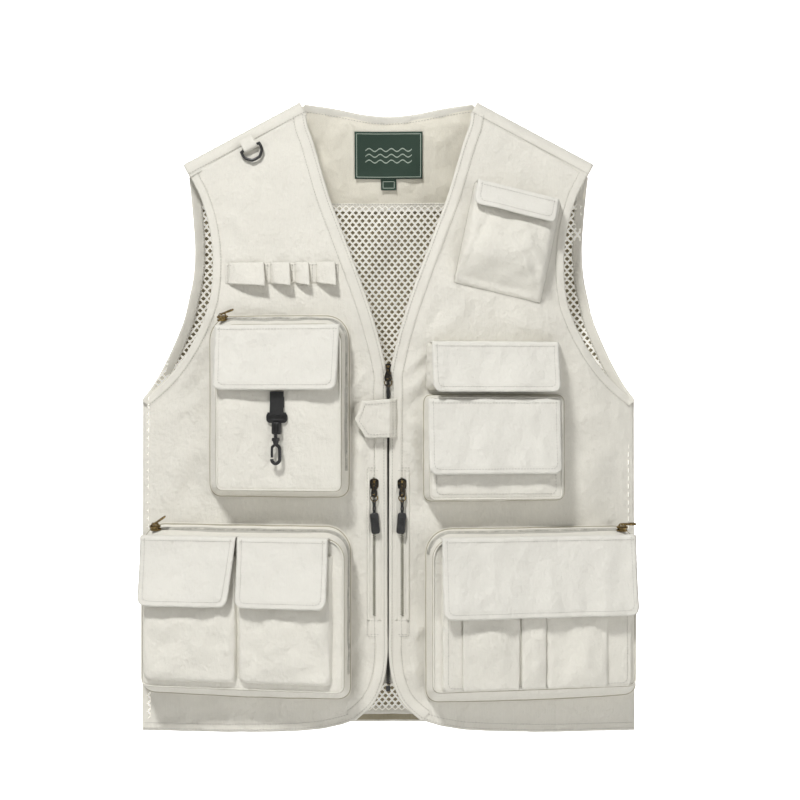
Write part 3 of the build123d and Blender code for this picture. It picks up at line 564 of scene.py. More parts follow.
def tube(name, points, radius, body, finish, closed=False):
    """A round cord or wire through points in metres, as a mesh."""
    data = bpy.data.curves.new(name, "CURVE")
    data.dimensions = "3D"
    data.bevel_depth = radius * MM
    data.bevel_resolution = 2
    data.use_fill_caps = not closed
    spline = data.splines.new("POLY")
    spline.points.add(len(points) - 1)
    for slot_point, p in zip(spline.points, points):
        slot_point.co = (*p, 1.0)
    spline.use_cyclic_u = closed
    curve = bpy.data.objects.new(name, data)
    bm = bmesh.new()
    bm.from_mesh(bpy.data.meshes.new_from_object(curve))
    bpy.data.objects.remove(curve)
    return into_object(bm, name, body, finish)


def plate(outlines, thick, edge, matrix):
    """A flat plate with bevelled edges from closed outlines, holes included, in a bmesh."""
    data = bpy.data.curves.new("plate", "CURVE")
    data.dimensions = "2D"
    data.fill_mode = "BOTH"
    data.extrude = thick / 2 - edge
    data.bevel_depth = edge
    data.bevel_resolution = 1
    for outline in outlines:
        spline = data.splines.new("POLY")
        spline.points.add(len(outline) - 1)
        for point, (x, y) in zip(spline.points, outline):
            point.co = (x, y, 0.0, 1.0)
        spline.use_cyclic_u = True
    curve = bpy.data.objects.new("plate", data)
    mesh = bpy.data.meshes.new_from_object(curve)
    bpy.data.objects.remove(curve)
    bm = bmesh.new()
    bm.from_mesh(mesh)
    bmesh.ops.remove_doubles(bm, verts=bm.verts, dist=0.001)
    return placed(outward(bm), matrix)


def round_box(width, height, radius, cx=0.0, cy=0.0, steps=5):
    """The outline of a rectangle with round corners."""
    points = []
    for k, (sx, sy) in enumerate([(1, 1), (-1, 1), (-1, -1), (1, -1)]):
        for j in range(steps + 1):
            a = (k + j / steps) * pi / 2
            points.append((
                cx + sx * (width / 2 - radius) + radius * cos(a),
                cy + sy * (height / 2 - radius) + radius * sin(a),
            ))
    return points


def outward(bm):
    """A bmesh with its faces turned outwards."""
    bmesh.ops.recalc_face_normals(bm, faces=bm.faces)
    return bm


def placed(bm, matrix):
    """A bmesh moved by a matrix."""
    bmesh.ops.transform(bm, matrix=matrix, verts=bm.verts)
    return bm


def merge(meshes):
    """Several bmeshes as one."""
    bm = bmesh.new()
    for part in meshes:
        mesh = bpy.data.meshes.new("part")
        part.to_mesh(mesh)
        part.free()
        bm.from_mesh(mesh)
        bpy.data.meshes.remove(mesh)
    return bm


def block(size, at, bevel=0.2, taper=1.0):
    """A bevelled block in millimetres; taper narrows its outer face."""
    bm = bmesh.new()
    bmesh.ops.create_cube(bm, size=1.0, matrix=Matrix.Translation(at) @ Matrix.Diagonal((*size, 1.0)))
    for vert in bm.verts:
        if vert.co.z > at[2]:
            vert.co.x = at[0] + (vert.co.x - at[0]) * taper
            vert.co.y = at[1] + (vert.co.y - at[1]) * taper
    bmesh.ops.bevel(
        bm, geom=bm.edges[:], offset=bevel, segments=2, profile=0.5, affect="EDGES", material=-1
    )
    return bm


def cylinder(radius, length, start, way, segments=24, bevel=0.15, top=None):
    """A bevelled round bar in millimetres, from a point along a direction."""
    bm = bmesh.new()
    turn = Vector((0, 0, 1)).rotation_difference(Vector(way)).to_matrix().to_4x4()
    matrix = Matrix.Translation(Vector(start)) @ turn @ Matrix.Translation((0, 0, length / 2))
    bmesh.ops.create_cone(
        bm, cap_ends=True, segments=segments, radius1=radius,
        radius2=radius if top is None else top, depth=length, matrix=matrix,
    )
    rims = [e for e in bm.edges if len(e.link_faces) == 2 and any(len(f.verts) > 4 for f in e.link_faces)]
    bmesh.ops.bevel(bm, geom=rims, offset=bevel, segments=2, profile=0.5, affect="EDGES", material=-1)
    return bm


# Body cloth

def outer_side(armhole_points):
    """The wearer's left edge of a panel: its armhole, then the side seam."""
    armhole = run(armhole_points)
    side_seam = run(SIDE_SEAM, smooth=False)
    share = armhole.length / (armhole.length + side_seam.length)

    def at(t):
        return armhole(t / share) if t < share else side_seam((t - share) / (1 - share))

    return at


def front_shape(side):
    """One front's flat shape; across goes from the wearer's right to the left."""
    top = run(FRONT_TOP, smooth=False)
    shape = coons(top, run(FRONT_HEM), run(FRONT_EDGE), outer_side(FRONT_ARMHOLE))

    def at(across, down):
        p = shape(across if side > 0 else 1 - across, down)
        return side * p.x, p.y

    return at


def build_fronts():
    """The outer cloth of both fronts."""
    thick = bpy.context.scene.vest_sizes.shell / MM
    for side, name in ((-1, "right"), (1, "left")):
        shape = front_shape(side)

        def place(u, v, shape=shape):
            x, z = shape(u, 1 - v)
            return body_point(x, z)

        into_object(grid(78, 220, place), f"{name}_front_cloth", "vest", "canvas",
                    node=f"{name}_front_panel", thick=thick)


def back_shape():
    """The back's flat shape."""
    top = run(BACK_TOP, smooth=False)
    bottom = run([(-273, HEM_Z), (273, HEM_Z)], smooth=False)
    right = outer_side(BACK_ARMHOLE)

    def left(t):
        p = right(t)
        return Vector((-p.x, p.y, 0.0))

    return coons(top, bottom, left, right)


def build_back():
    """The outer cloth of the back."""
    shape = back_shape()

    def place(u, v):
        p = shape(1 - u, 1 - v)
        return body_point(p.x, p.y, 0.0, True)

    into_object(grid(150, 190, place), "back_cloth", "vest", "canvas", node="back_panel",
                thick=bpy.context.scene.vest_sizes.shell / MM)


def build_yoke():
    """The plain lining at the top of the back, with its folded lower edge."""
    top = run(BACK_TOP, smooth=False)
    bottom = run([(-218, YOKE_Z), (218, YOKE_Z)], smooth=False)
    right = run([(221, -83), (218, YOKE_Z)], smooth=False)
    left = run([(-221, -83), (-218, YOKE_Z)], smooth=False)
    shape = coons(top, bottom, left, right)

    def place(u, v):
        p = shape(u, 1 - v)
        droop = crumple(p.x, p.y, 9, 42, 2.4) + crumple(p.x, p.y, 10, 16, 0.7)
        for x0, lean in ((-62, 0.5), (58, -0.55), (20, -0.1)):
            off = (p.x - x0 - lean * (p.y + 16)) / 9
            droop += 1.6 * exp(-off * off)
        slack = min(1.0, (1 - v) * 6) * min(1.0, v * 5)
        near = 1.6 if abs(p.x) < 50 and -104 < p.y < -24 else 3.8
        return body_point(p.x, p.y, -2.4 + max(-near, min(0.3, (droop - 2.2) * slack)), True)

    cloth = into_object(
        grid(170, 46, place), "yoke_lining", "vest", "lining", node="inner_yoke",
        thick=0.7,
    )
    for mod in cloth.modifiers:
        mod.offset = 1.0

    def band(u, v):
        x, z = -218 + 436 * u, YOKE_Z - 5.5 + 9.5 * v
        puff = 0.9 * sin(pi * limit(v)) ** 0.5
        return body_point(x, z, -3.6 - puff, True)

    into_object(grid(150, 8, band), "yoke_seam_band", "vest", "canvas", thick=0.4)
    rows = []
    for z in (YOKE_Z - 4.3, YOKE_Z + 3.0):
        rows.append(turned_in(body_line([(-216, z), (0, z), (216, z)], -4.6, True, smooth=False)))
    sew("yoke_stitching", "vest", rows)


MESH_SIDE = [(217, YOKE_Z), (214, -165), (220, -215), (235, -265), (262, -318), (268, -335), (268, HEM_Z)]


def mesh_cells(low, high):
    """Flat rows of six-sided cells between two heights, with a hole in each."""
    sizes = bpy.context.scene.vest_sizes
    pitch, row = sizes.mesh_pitch / MM, sizes.mesh_row / MM
    half = pitch / 2
    lift = (row**2 - half**2) / (2 * row)
    ring = [(half, -lift), (half, lift), (0, row - lift), (-half, lift), (-half, -lift), (0, lift - row)]
    bm = bmesh.new()
    rim_verts = [bm.verts.new((x, z, 0)) for x, z in ring]
    hole = [bm.verts.new((x * sizes.hole_share, z * sizes.hole_share, 0)) for x, z in ring]
    for k in range(6):
        bm.faces.new((rim_verts[k], rim_verts[k - 1], hole[k - 1], hole[k]))
    columns = int(2 * 268 / pitch) + 1
    repeat_cells(bm, columns, (pitch, 0, 0))
    repeat_cells(bm, 2, (half, -row, 0))
    repeat_cells(bm, int((high - low) / (2 * row)), (0, -2 * row, 0))
    bmesh.ops.remove_doubles(bm, verts=bm.verts, dist=0.05)
    bmesh.ops.translate(bm, verts=bm.verts, vec=(-pitch * columns / 2, high, 0))
    return bm


def build_mesh_lining():
    """A knitted mesh laid on the back's inside, its hem tape and the canvas seen through it."""
    bm = mesh_cells(HEM_Z + 10, YOKE_Z - 2)
    edge = run(MESH_SIDE, smooth=False)
    limits = {}
    for k in range(400):
        p = edge(k / 399)
        limits[round(p.y / 6)] = p.x
    outside = [v for v in bm.verts if abs(v.co.x) > limits.get(round(v.co.y / 6), 268.0)]
    bmesh.ops.delete(bm, geom=outside, context="VERTS")
    for vert in bm.verts:
        x, z = vert.co.x, vert.co.y
        slack = crumple(x, z * 0.6, 12, 60, 2.2) + crumple(x, z, 13, 24, 0.7)
        vert.co = body_point(x, z, -5.2 + min(1.2, slack), True)
    into_object(bm, "mesh_cloth", "vest", "mesh", node="mesh_lining")

    def hem_tape(u, v):
        x = -262 + 524 * (1 - u)
        z = HEM_Z + 9 + 9 * v
        return body_point(x, z, -4.0, True)

    into_object(grid(120, 3, hem_tape), "mesh_hem_tape", "vest", "canvas", thick=-0.8)
    # Painted shade: a sheet in a darker copy of the canvas, just inside the back cloth, stands for its
    # shaded inside seen through the mesh's holes.
    shape = back_shape()

    def inside(u, v):
        p = shape(u, v)
        return body_point(p.x * 0.985, min(p.y, YOKE_Z) + 2 * v, -1.5, True)

    into_object(grid(90, 110, inside), "back_painted_shade_sheet", "vest", "painted_shade_canvas")


def repeat_cells(bm, count, step):
    """Repeat everything in a mesh, doubling what there is each time."""
    have = 1
    while have < count:
        share = min(have, count - have)
        source = bmesh.new()
        data = bpy.data.meshes.new("cells")
        bm.to_mesh(data)
        source.from_mesh(data)
        if share < have:
            verts = sorted(source.verts, key=lambda v: v.index)[len(source.verts) * share // have:]
            bmesh.ops.delete(source, geom=verts, context="VERTS")
        bmesh.ops.translate(source, verts=source.verts, vec=Vector(step) * have)
        source.to_mesh(data)
        source.free()
        bm.from_mesh(data)
        bpy.data.meshes.remove(data)
        have += share


def edge_wrap(points, inward, widths, steps, back=False):
    """A strip folded over an edge of the body: widths are outside and inside it."""
    at = run(points)
    outer, inner = widths
    lift, sink = steps

    def place(u, v):
        p = at(u)
        way = (at(min(1, u + 0.004)) - at(max(0, u - 0.004))).normalized()
        side_x, side_z = -way.y * inward, way.x * inward
        if v < 0.42:
            share = v / 0.42
            across = outer * (1 - share)
            out = lift * min(1.0, share / 0.08) + 0.15 * sin(pi * share)
        elif v < 0.58:
            turn = (v - 0.42) / 0.16 * pi
            across = -1.4 * sin(turn)
            out = (lift - sink) / 2 + (lift + sink) / 2 * cos(turn)
        else:
            share = (v - 0.58) / 0.42
            across = inner * share
            out = -sink - 0.3 * sin(pi * share)
        return body_point(p.x + side_x * across, p.y + side_z * across, out, back)

    bm = grid(max(20, int(at.length / 3.5)), 22, place)
    if (inward < 0) != back:
        bmesh.ops.reverse_faces(bm, faces=bm.faces)
    return bm


def build_edges():
    """Facings, armhole bindings, the neck binding and the shoulder bands, with their stitching."""
    rows = []
    for side, name in ((-1, "right"), (1, "left")):
        front = sided(FRONT_EDGE, side)
        into_object(edge_wrap(front, side, (12.5, 14), (0.7, 2.6)), f"{name}_front_edge",
                    "vest", "canvas_trim", node=f"{name}_front_facing")
        rows.append(body_line(front, 1.0, offset=side * 12.6))
        rows.append(body_line(front, 1.4, offset=side * 2.2))
        hem = sided([*FRONT_HEM[:-1], (272, HEM_Z)], side)
        rows.append(body_line(hem, 0.5, offset=side * 8.5))
        rows.append(body_line(hem, 0.6, offset=side * 2.5))
        arm = sided(FRONT_ARMHOLE, side)
        parts = [edge_wrap(arm, -side, (8, 8), (0.7, 2.9))]
        rows.append(body_line(arm, 1.1, offset=-side * 8.1))
        behind = sided(BACK_ARMHOLE, side)
        parts.append(edge_wrap(behind, -side, (9, 10), (0.9, 5.6), back=True))
        rows.append(body_line(behind, 1.1, back=True, offset=-side * 9))
        into_object(merge(parts), f"{name}_armhole_edge", "vest", "canvas_trim",
                    node=f"{name}_armhole_binding")
        rows.append(turned_in(body_line(behind, -6.4, back=True, offset=-side * 9)))
    into_object(edge_wrap(BACK_NECK, -1, (7, 8), (1.0, 3.6), back=True), "neck_edge", "vest",
                "canvas_trim", node="back_neck_binding")
    rows.append(turned_in(body_line(BACK_NECK, -4.3, back=True, offset=-7)))
    rows.append(body_line(BACK_NECK, 1.2, back=True, offset=-6))
    rows.append(body_line([(-272, HEM_Z + 8.5), (272, HEM_Z + 8.5)], 0.5, back=True, smooth=False))
    rows.append(body_line([(-217, -118), (0, -118), (217, -118)], 0.5, back=True, smooth=False))
    sew("body_stitching", "vest", rows)


def build_shoulders():
    """A cloth band arched over each shoulder seam, topstitched along both feet."""
    parts, rows = [], []
    run_down = Vector((TIP_X - NECK_HALF, 0, TIP_Z))
    length = run_down.length
    for side in (-1, 1):
        down = Vector((side * run_down.x, 0, run_down.z)).normalized()
        up = Vector((-down.z * side, 0, down.x * side)) if side > 0 else Vector((down.z, 0, -down.x))
        base = Vector((side * NECK_HALF, 0, -ARCH_R - 0.6))

        def place(u, v, lift=0.0, base=base, down=down, up=up):
            v = v * 2 - 1
            along = length * u
            reach = ARCH_R + 1.1 + lift
            half_turn = 0.72
            if abs(v) < half_turn:
                a = v / half_turn * pi / 2
                y, rise = reach * sin(a), reach * cos(a)
            else:
                y = reach * (1 if v > 0 else -1)
                rise = -(abs(v) - half_turn) / (1 - half_turn) * 6.5
            y += 0.5 * noise.noise(Vector((along / 18, v * 2, side))) * (1 if v > 0 else -1)
            return (base + down * along + up * rise + Vector((0, y, 0))) * MM

        bm = grid(52, 26, place)
        if side > 0:
            bmesh.ops.reverse_faces(bm, faces=bm.faces)
        parts.append(bm)
        for v, out in ((0.1, Vector((0, -1, 0))), (0.9, Vector((0, 1, 0))), (0.5, up)):
            rows.append([(place(k / 50, v, 0.4), out) for k in range(51)])
    into_object(outward(merge(parts)), "shoulder_cloth", "vest", "canvas_trim",
                node="shoulder_bands", thick=1.0)
    sew("shoulder_stitching", "vest", rows)


def build_labels():
    """The woven neck label and the size tab under it, with no lettering."""
    for node in ("neck_label", "size_label"):
        low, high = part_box(node)
        low, high = low / MM, high / MM

        def place(u, v, low=low, high=high):
            x = low.x + (high.x - low.x) * u
            z = low.z + (high.z - low.z) * v
            curl = 1.2 * (2 * v - 1) ** 4 + 0.8 * (2 * u - 1) ** 4
            return body_point(x, z, -5.4 - curl, True)

        into_object(grid(36, 24, place), f"{node}_cloth", "vest", node, node=node,
                    thick=0.5)


# Zips

def tape_and_teeth(name, path, node, tooth, teeth="coil", tape=9.0):
    """A zip along (point, outward) pairs: its two tapes and its interlocked teeth."""

    def place(u, v):
        k = min(int(u * (len(path) - 1)), len(path) - 2)
        t = u * (len(path) - 1) - k
        p = path[k][0].lerp(path[k + 1][0], t)
        out = path[k][1].lerp(path[k + 1][1], t).normalized()
        ahead = path[min(k + 1, len(path) - 1)][0] - path[k][0]
        side = out.cross(ahead.normalized())
        off = (v - 0.5) * tape
        dip = -0.5 if abs(off) > 1.3 else -0.2
        return p + (side * off + out * dip) * MM

    into_object(grid(max(10, len(path)), 12, place), f"{name}_tape", "vest", "tape", node=node,
                thick=0.5)
    bm = bmesh.new()
    size = tuple(side * MM for side in tooth)
    bars(bm, path, size, bpy.context.scene.vest_sizes.tooth_pitch, skew=0.55 * MM)
    into_object(bm, f"{name}_teeth", "vest", teeth)


def slider_body(matrix, half, length, pin, name, body, finish, node):
    """A slider: two shield plates round the chain, its side flanges and a brass bridge for the pull."""

    def shield(shrink):
        points = []
        for k in range(40):
            a = 2 * pi * k / 40
            x = cos(a) * (length / 2 - shrink)
            width = half * (0.80 + 0.2 * cos(a + pi)) - shrink
            y = sin(a) * width
            y = limit(y * 1.25, -half * 0.92, half * 0.92)
            points.append((x, y))
        return points

    plates = []
    for way in (-1, 1):
        level = Matrix.Translation((0, 0, way * 1.7))
        plates.append(plate([shield(0.0)], 1.1, 0.3, level))
    for flank in (-1, 1):
        plates.append(block((length - 5, 0.9, 2.6), (0.5, flank * (half - 0.75), 0), 0.25))
    into_object(placed(merge(plates), matrix), name, body, finish, node=node)

    def arch(u, v):
        a = pi * u
        x = -cos(a) * (length / 2 - 1.6)
        z = 2.1 + (pin + 0.5 - 2.1) * min(1.0, sin(a) * 1.35)
        return Vector((x, (v - 0.5) * 2.9 * (1 - 0.35 * sin(a)), z))

    bm = placed(grid(18, 4, arch), matrix)
    bridge = into_object(bm, f"{name}_bridge", body, "brass", thick=0.9)
    soft = bridge.modifiers.new("edges", "BEVEL")
    soft.width = 0.2 * MM
    soft.segments = 2


def drop_pull(matrix, length, name, body, finish, node, hole, wide, narrow):
    """A drop-shaped pull: narrow at its pin, wide at its end, with an eye at each."""

    def width(t):
        return narrow / 2 + (wide - narrow) / 2 * limit((t - 0.25) / 0.4) ** 0.8

    steps = 16
    up = [(-1.3 + length * k / steps, width(k / steps)) for k in range(steps - 2)]
    end = [(-1.3 + length - width(1) + width(1) * cos(a * pi / 16), width(1) * sin(a * pi / 16))
           for a in range(8, -9, -1)]
    down = [(x, -y) for x, y in reversed(up)]
    outline = up[:-1] + end + down[1:]
    eye = round_box(2.6, 1.7, 0.8, 1.1, 0.0)
    slit = round_box(hole, 2.6, 1.25, length - hole / 2 - 3.4, 0.0)
    into_object(plate([outline, eye, slit], 1.5, 0.35, matrix), name, body, finish, node=node)


def down_line(x, top, length, out):
    """A zip's path straight down the front at an X, standing a distance out."""
    count = int(length / LINE_STEPS)
    return [
        (body_point(x, top - length * k / count, out), body_out(x, top)) for k in range(count + 1)
    ]


def front_frame(x, z, depth):
    """The packed frame of a zip that runs down the front."""
    _, radius = skin_arc(z)
    a = asin(x / radius)
    out = Vector((sin(a), -cos(a), 0))
    origin = (Vector((x, skin_y(x, z), z)) + out * depth) * MM
    return line_matrix(origin, Vector((0, 0, -1)), out)


def shifted(matrix, x=0.0, y=0.0, z=0.0):
    """A frame moved along its own directions."""
    return matrix @ Matrix.Translation((x, y, z))


def doubled_cord(matrix, start, pin, length, name, body, node):
    """Both strands of a short doubled cord."""
    for strand, way in (("a", -1), ("b", 1)):
        points = [
            matrix @ Vector((start + length * k / 12, way * (0.85 + 0.25 * sin(k * 1.1)), pin))
            for k in range(13)
        ]
        tube(f"{name}_{strand}", points, 0.85, body, "cord")
    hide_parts(node)


def tip_ring(matrix, radius, body, name):
    """A thin brass ring through the eye of a pull."""
    angles = [k * pi / 14 for k in range(28)]
    points = [matrix @ Vector((radius * cos(a), radius * sin(a), 0)) for a in angles]
    tube(name, points, 0.62, body, "brass", True)


def build_main_zip():
    """The front zip under the facings, with its stops, slider, pull and cord."""
    matrix = front_frame(0, MAIN_TOP, MAIN_DEPTH)
    length = MAIN_TOP - MAIN_BOTTOM
    steps = range(OPEN_STEPS, int(length / LINE_STEPS))
    path = [(matrix @ Vector((k * LINE_STEPS, 0, 0)), Vector((0, -1, 0))) for k in steps]
    tape_and_teeth("main_zip", path, ("main_zip_tapes", "main_zip_chains"), (0.9, 2.9, 1.9),
                   teeth="black_coil", tape=19)
    parts = [block((3.4, 2.0, 2.4), (-2, way * 9.5, 0), 0.4) for way in (-1, 1)]
    parts.append(block((6, 4.6, 2.6), (length + 3, 0, 0), 0.6))
    into_object(placed(merge(parts), matrix), "main_zip_end_stops", "vest", "black_coil",
                node="main_zip_stops")
    slider_body(shifted(matrix, SLIDER_AT), 4.2, 12, MAIN_PIN, "main_slider", "main_slider",
                "black_metal", "main_zip_slider")
    drop_pull(shifted(matrix, SLIDER_AT, 0, MAIN_PIN), 15, "main_pull_drop", "main_pull",
              "black_metal", "main_zip_pull", hole=3.0, wide=7.4, narrow=3.6)
    tip_ring(shifted(matrix, SLIDER_AT + 14.6, 0, MAIN_PIN), 3.9, "main_pull", "main_pull_ring")
    doubled_cord(matrix, SLIDER_AT + CORD_START, MAIN_PIN, MAIN_CORD, "main_cord_strand",
                 "main_cord", "main_zip_cord")


def grip(matrix, start, pin, turn, name, body):
    """A moulded rubber grip with a waist and a band of ribs."""
    place = matrix @ Matrix.Translation((start + GRIP_LENGTH / 2 - 1, turn * 0.18, pin + 0.1))
    place = place @ Matrix.Rotation(radians(turn), 4, "Z")
    outline = []
    for k in range(48):
        a = 2 * pi * k / 48
        x = GRIP_LENGTH / 2 * (1 if cos(a) > 0 else -1) * abs(cos(a)) ** 0.35
        y = 4.3 * (1 if sin(a) > 0 else -1) * abs(sin(a)) ** 0.4
        y *= 0.82 + 0.18 * (x / (GRIP_LENGTH / 2)) ** 2
        outline.append((x, y))
    parts = [plate([outline], 4.4, 0.9, Matrix.Identity(4))]
    for k in range(5):
        parts.append(block((0.9, 5.4, 1.0), (-6.0 + k * 2.0, 0, 2.15), 0.3))
    parts.append(block((7.2, 3.4, 0.8), (5.4, 0, 2.2), 0.35))
    into_object(placed(merge(parts), place), name, body, "rubber")


def build_welts():
    """The two zipped welt pockets beside the front edges, with their inside bags."""
    rows = []
    for side, name in ((-1, "right"), (1, "left")):
        body_slider, body_pull, body_cord = (f"{name}_welt_{p}" for p in ("slider", "pull", "cord"))
        x = side * WELT_X
        matrix = front_frame(x, WELT_TOP - 2, WELT_DEPTH)
        path = down_line(x, WELT_TOP - 2, WELT_TOP - WELT_BOTTOM - 4, 0.1)
        tape_and_teeth(f"{name}_welt", path, f"{name}_welt_zip", (0.9, 2.4, 1.4), teeth="welt_coil")
        parts = []
        for flank in (-1, 1):
            def lip(u, v, flank=flank, x=x):
                z = WELT_TOP + 3 + (WELT_BOTTOM - WELT_TOP - 6) * u
                across = 4.4 + 3.6 * v
                rise = 0.2 + 0.9 * sin(pi * min(1.0, v * 1.05)) ** 0.6 + crumple(z, flank, 5, 9, 0.3)
                return body_point(x + flank * across, z, rise)

            parts.append(outward(grid(70, 8, lip)))
        into_object(merge(parts), f"{name}_welt_lips", "vest", "canvas_trim",
                    thick=-0.4)

        def tack(u, v, x=x):
            return body_point(x - 6 + 12 * u, WELT_BOTTOM - 22 + 22 * v,
                              0.2 + 0.6 * min(1, 8 * min(u, v, 1 - u, 1 - v) + 0.1))

        into_object(grid(12, 22, tack), f"{name}_welt_tack", "vest", "canvas_trim")
        top, bottom = WELT_TOP + 8, WELT_BOTTOM - 20
        border = [(x - 7.6, top), (x + 7.6, top), (x + 7.6, bottom), (x - 7.6, bottom), (x - 7.6, top)]
        rows.append(body_line(border, 0.6, smooth=False))
        bar_tacks = ((4.5, WELT_BOTTOM - 3, 0.8), (4.5, WELT_BOTTOM - 18, 0.8), (5, WELT_TOP + 5, 0.7))
        for half, z, out in bar_tacks:
            rows.append(body_line([(x - half, z), (x + half, z)], out, smooth=False))
        at = shifted(matrix, WELT_SLIDER_AT)
        slider_body(shifted(at, 0, 0, 1.4), 5.0, 13, WELT_PIN - 1.4, f"{name}_welt_slider_shell",
                    body_slider, "black_metal", body_slider)
        drop_pull(shifted(at, 0, 0, WELT_PIN), 15, f"{name}_welt_pull_drop", body_pull, "black_metal",
                  body_pull, hole=4.0, wide=6.2, narrow=3.4)
        tip_ring(shifted(at, 14.4, 0, WELT_PIN), 3.6, body_pull, f"{name}_welt_pull_ring")
        doubled_cord(at, CORD_START, WELT_PIN, CORD_LENGTH, f"{name}_welt_cord_strand", body_cord,
                     body_cord)
        grip(at, CORD_START + CORD_LENGTH, WELT_PIN, side * -5, f"{name}_welt_grip", body_cord)
    sew("welt_stitching", "vest", rows)
    low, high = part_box("welt_pocket_bags")
    parts = []
    for side in (-1, 1):
        def bag(u, v, side=side, low=low / MM, high=high / MM):
            x0, x1 = 24.0, high.x
            z = low.z + (high.z - low.z) * v
            x = side * (x0 + (x1 - x0) * u)
            puff = -3.4 - 2.6 * sin(pi * u) * sin(pi * v) + crumple(x, z, 6, 30, 0.8)
            return body_point(x, z, min(-2.6, puff))

        parts.append(outward(grid(40, 50, bag)))
    into_object(merge(parts), "welt_bags", "vest", "lining", node="welt_pocket_bags",
                thick=0.8)


# Pockets

def rim(rect, corners, p):
    """A point round a rectangle with round corners: 0 to 4, clockwise from the top left."""
    width, height, cu, cv = rect
    side, t = int(p) % 4, p - int(p)
    u, v = [
        (width * (t - 0.5), height / 2), (width / 2, height * (0.5 - t)),
        (width * (0.5 - t), -height / 2), (-width / 2, height * (t - 0.5)),
    ][side]
    corner = corners[0] if v > 0 else corners[1]
    inner_u, inner_v = width / 2 - corner, height / 2 - corner
    if abs(u) > inner_u and abs(v) > inner_v:
        du, dv = abs(u) - inner_u, abs(v) - inner_v
        reach = corner / max(1e-6, hypot(du, dv))
        u = (inner_u + du * reach) * (1 if u > 0 else -1)
        v = (inner_v + dv * reach) * (1 if v > 0 else -1)
    return u + cu, v + cv


def round_position(s, t):
    """Where a direction from the middle of a square meets its rim, 0 to 4 from the top left."""
    r = max(abs(s), abs(t), 1e-9)
    s, t = s / r, t / r
    if abs(t) >= abs(s):
        return (s + 1) / 2 if t > 0 else 2 + (1 - s) / 2
    return 1 + (1 - t) / 2 if s > 0 else 3 + (1 + t) / 2


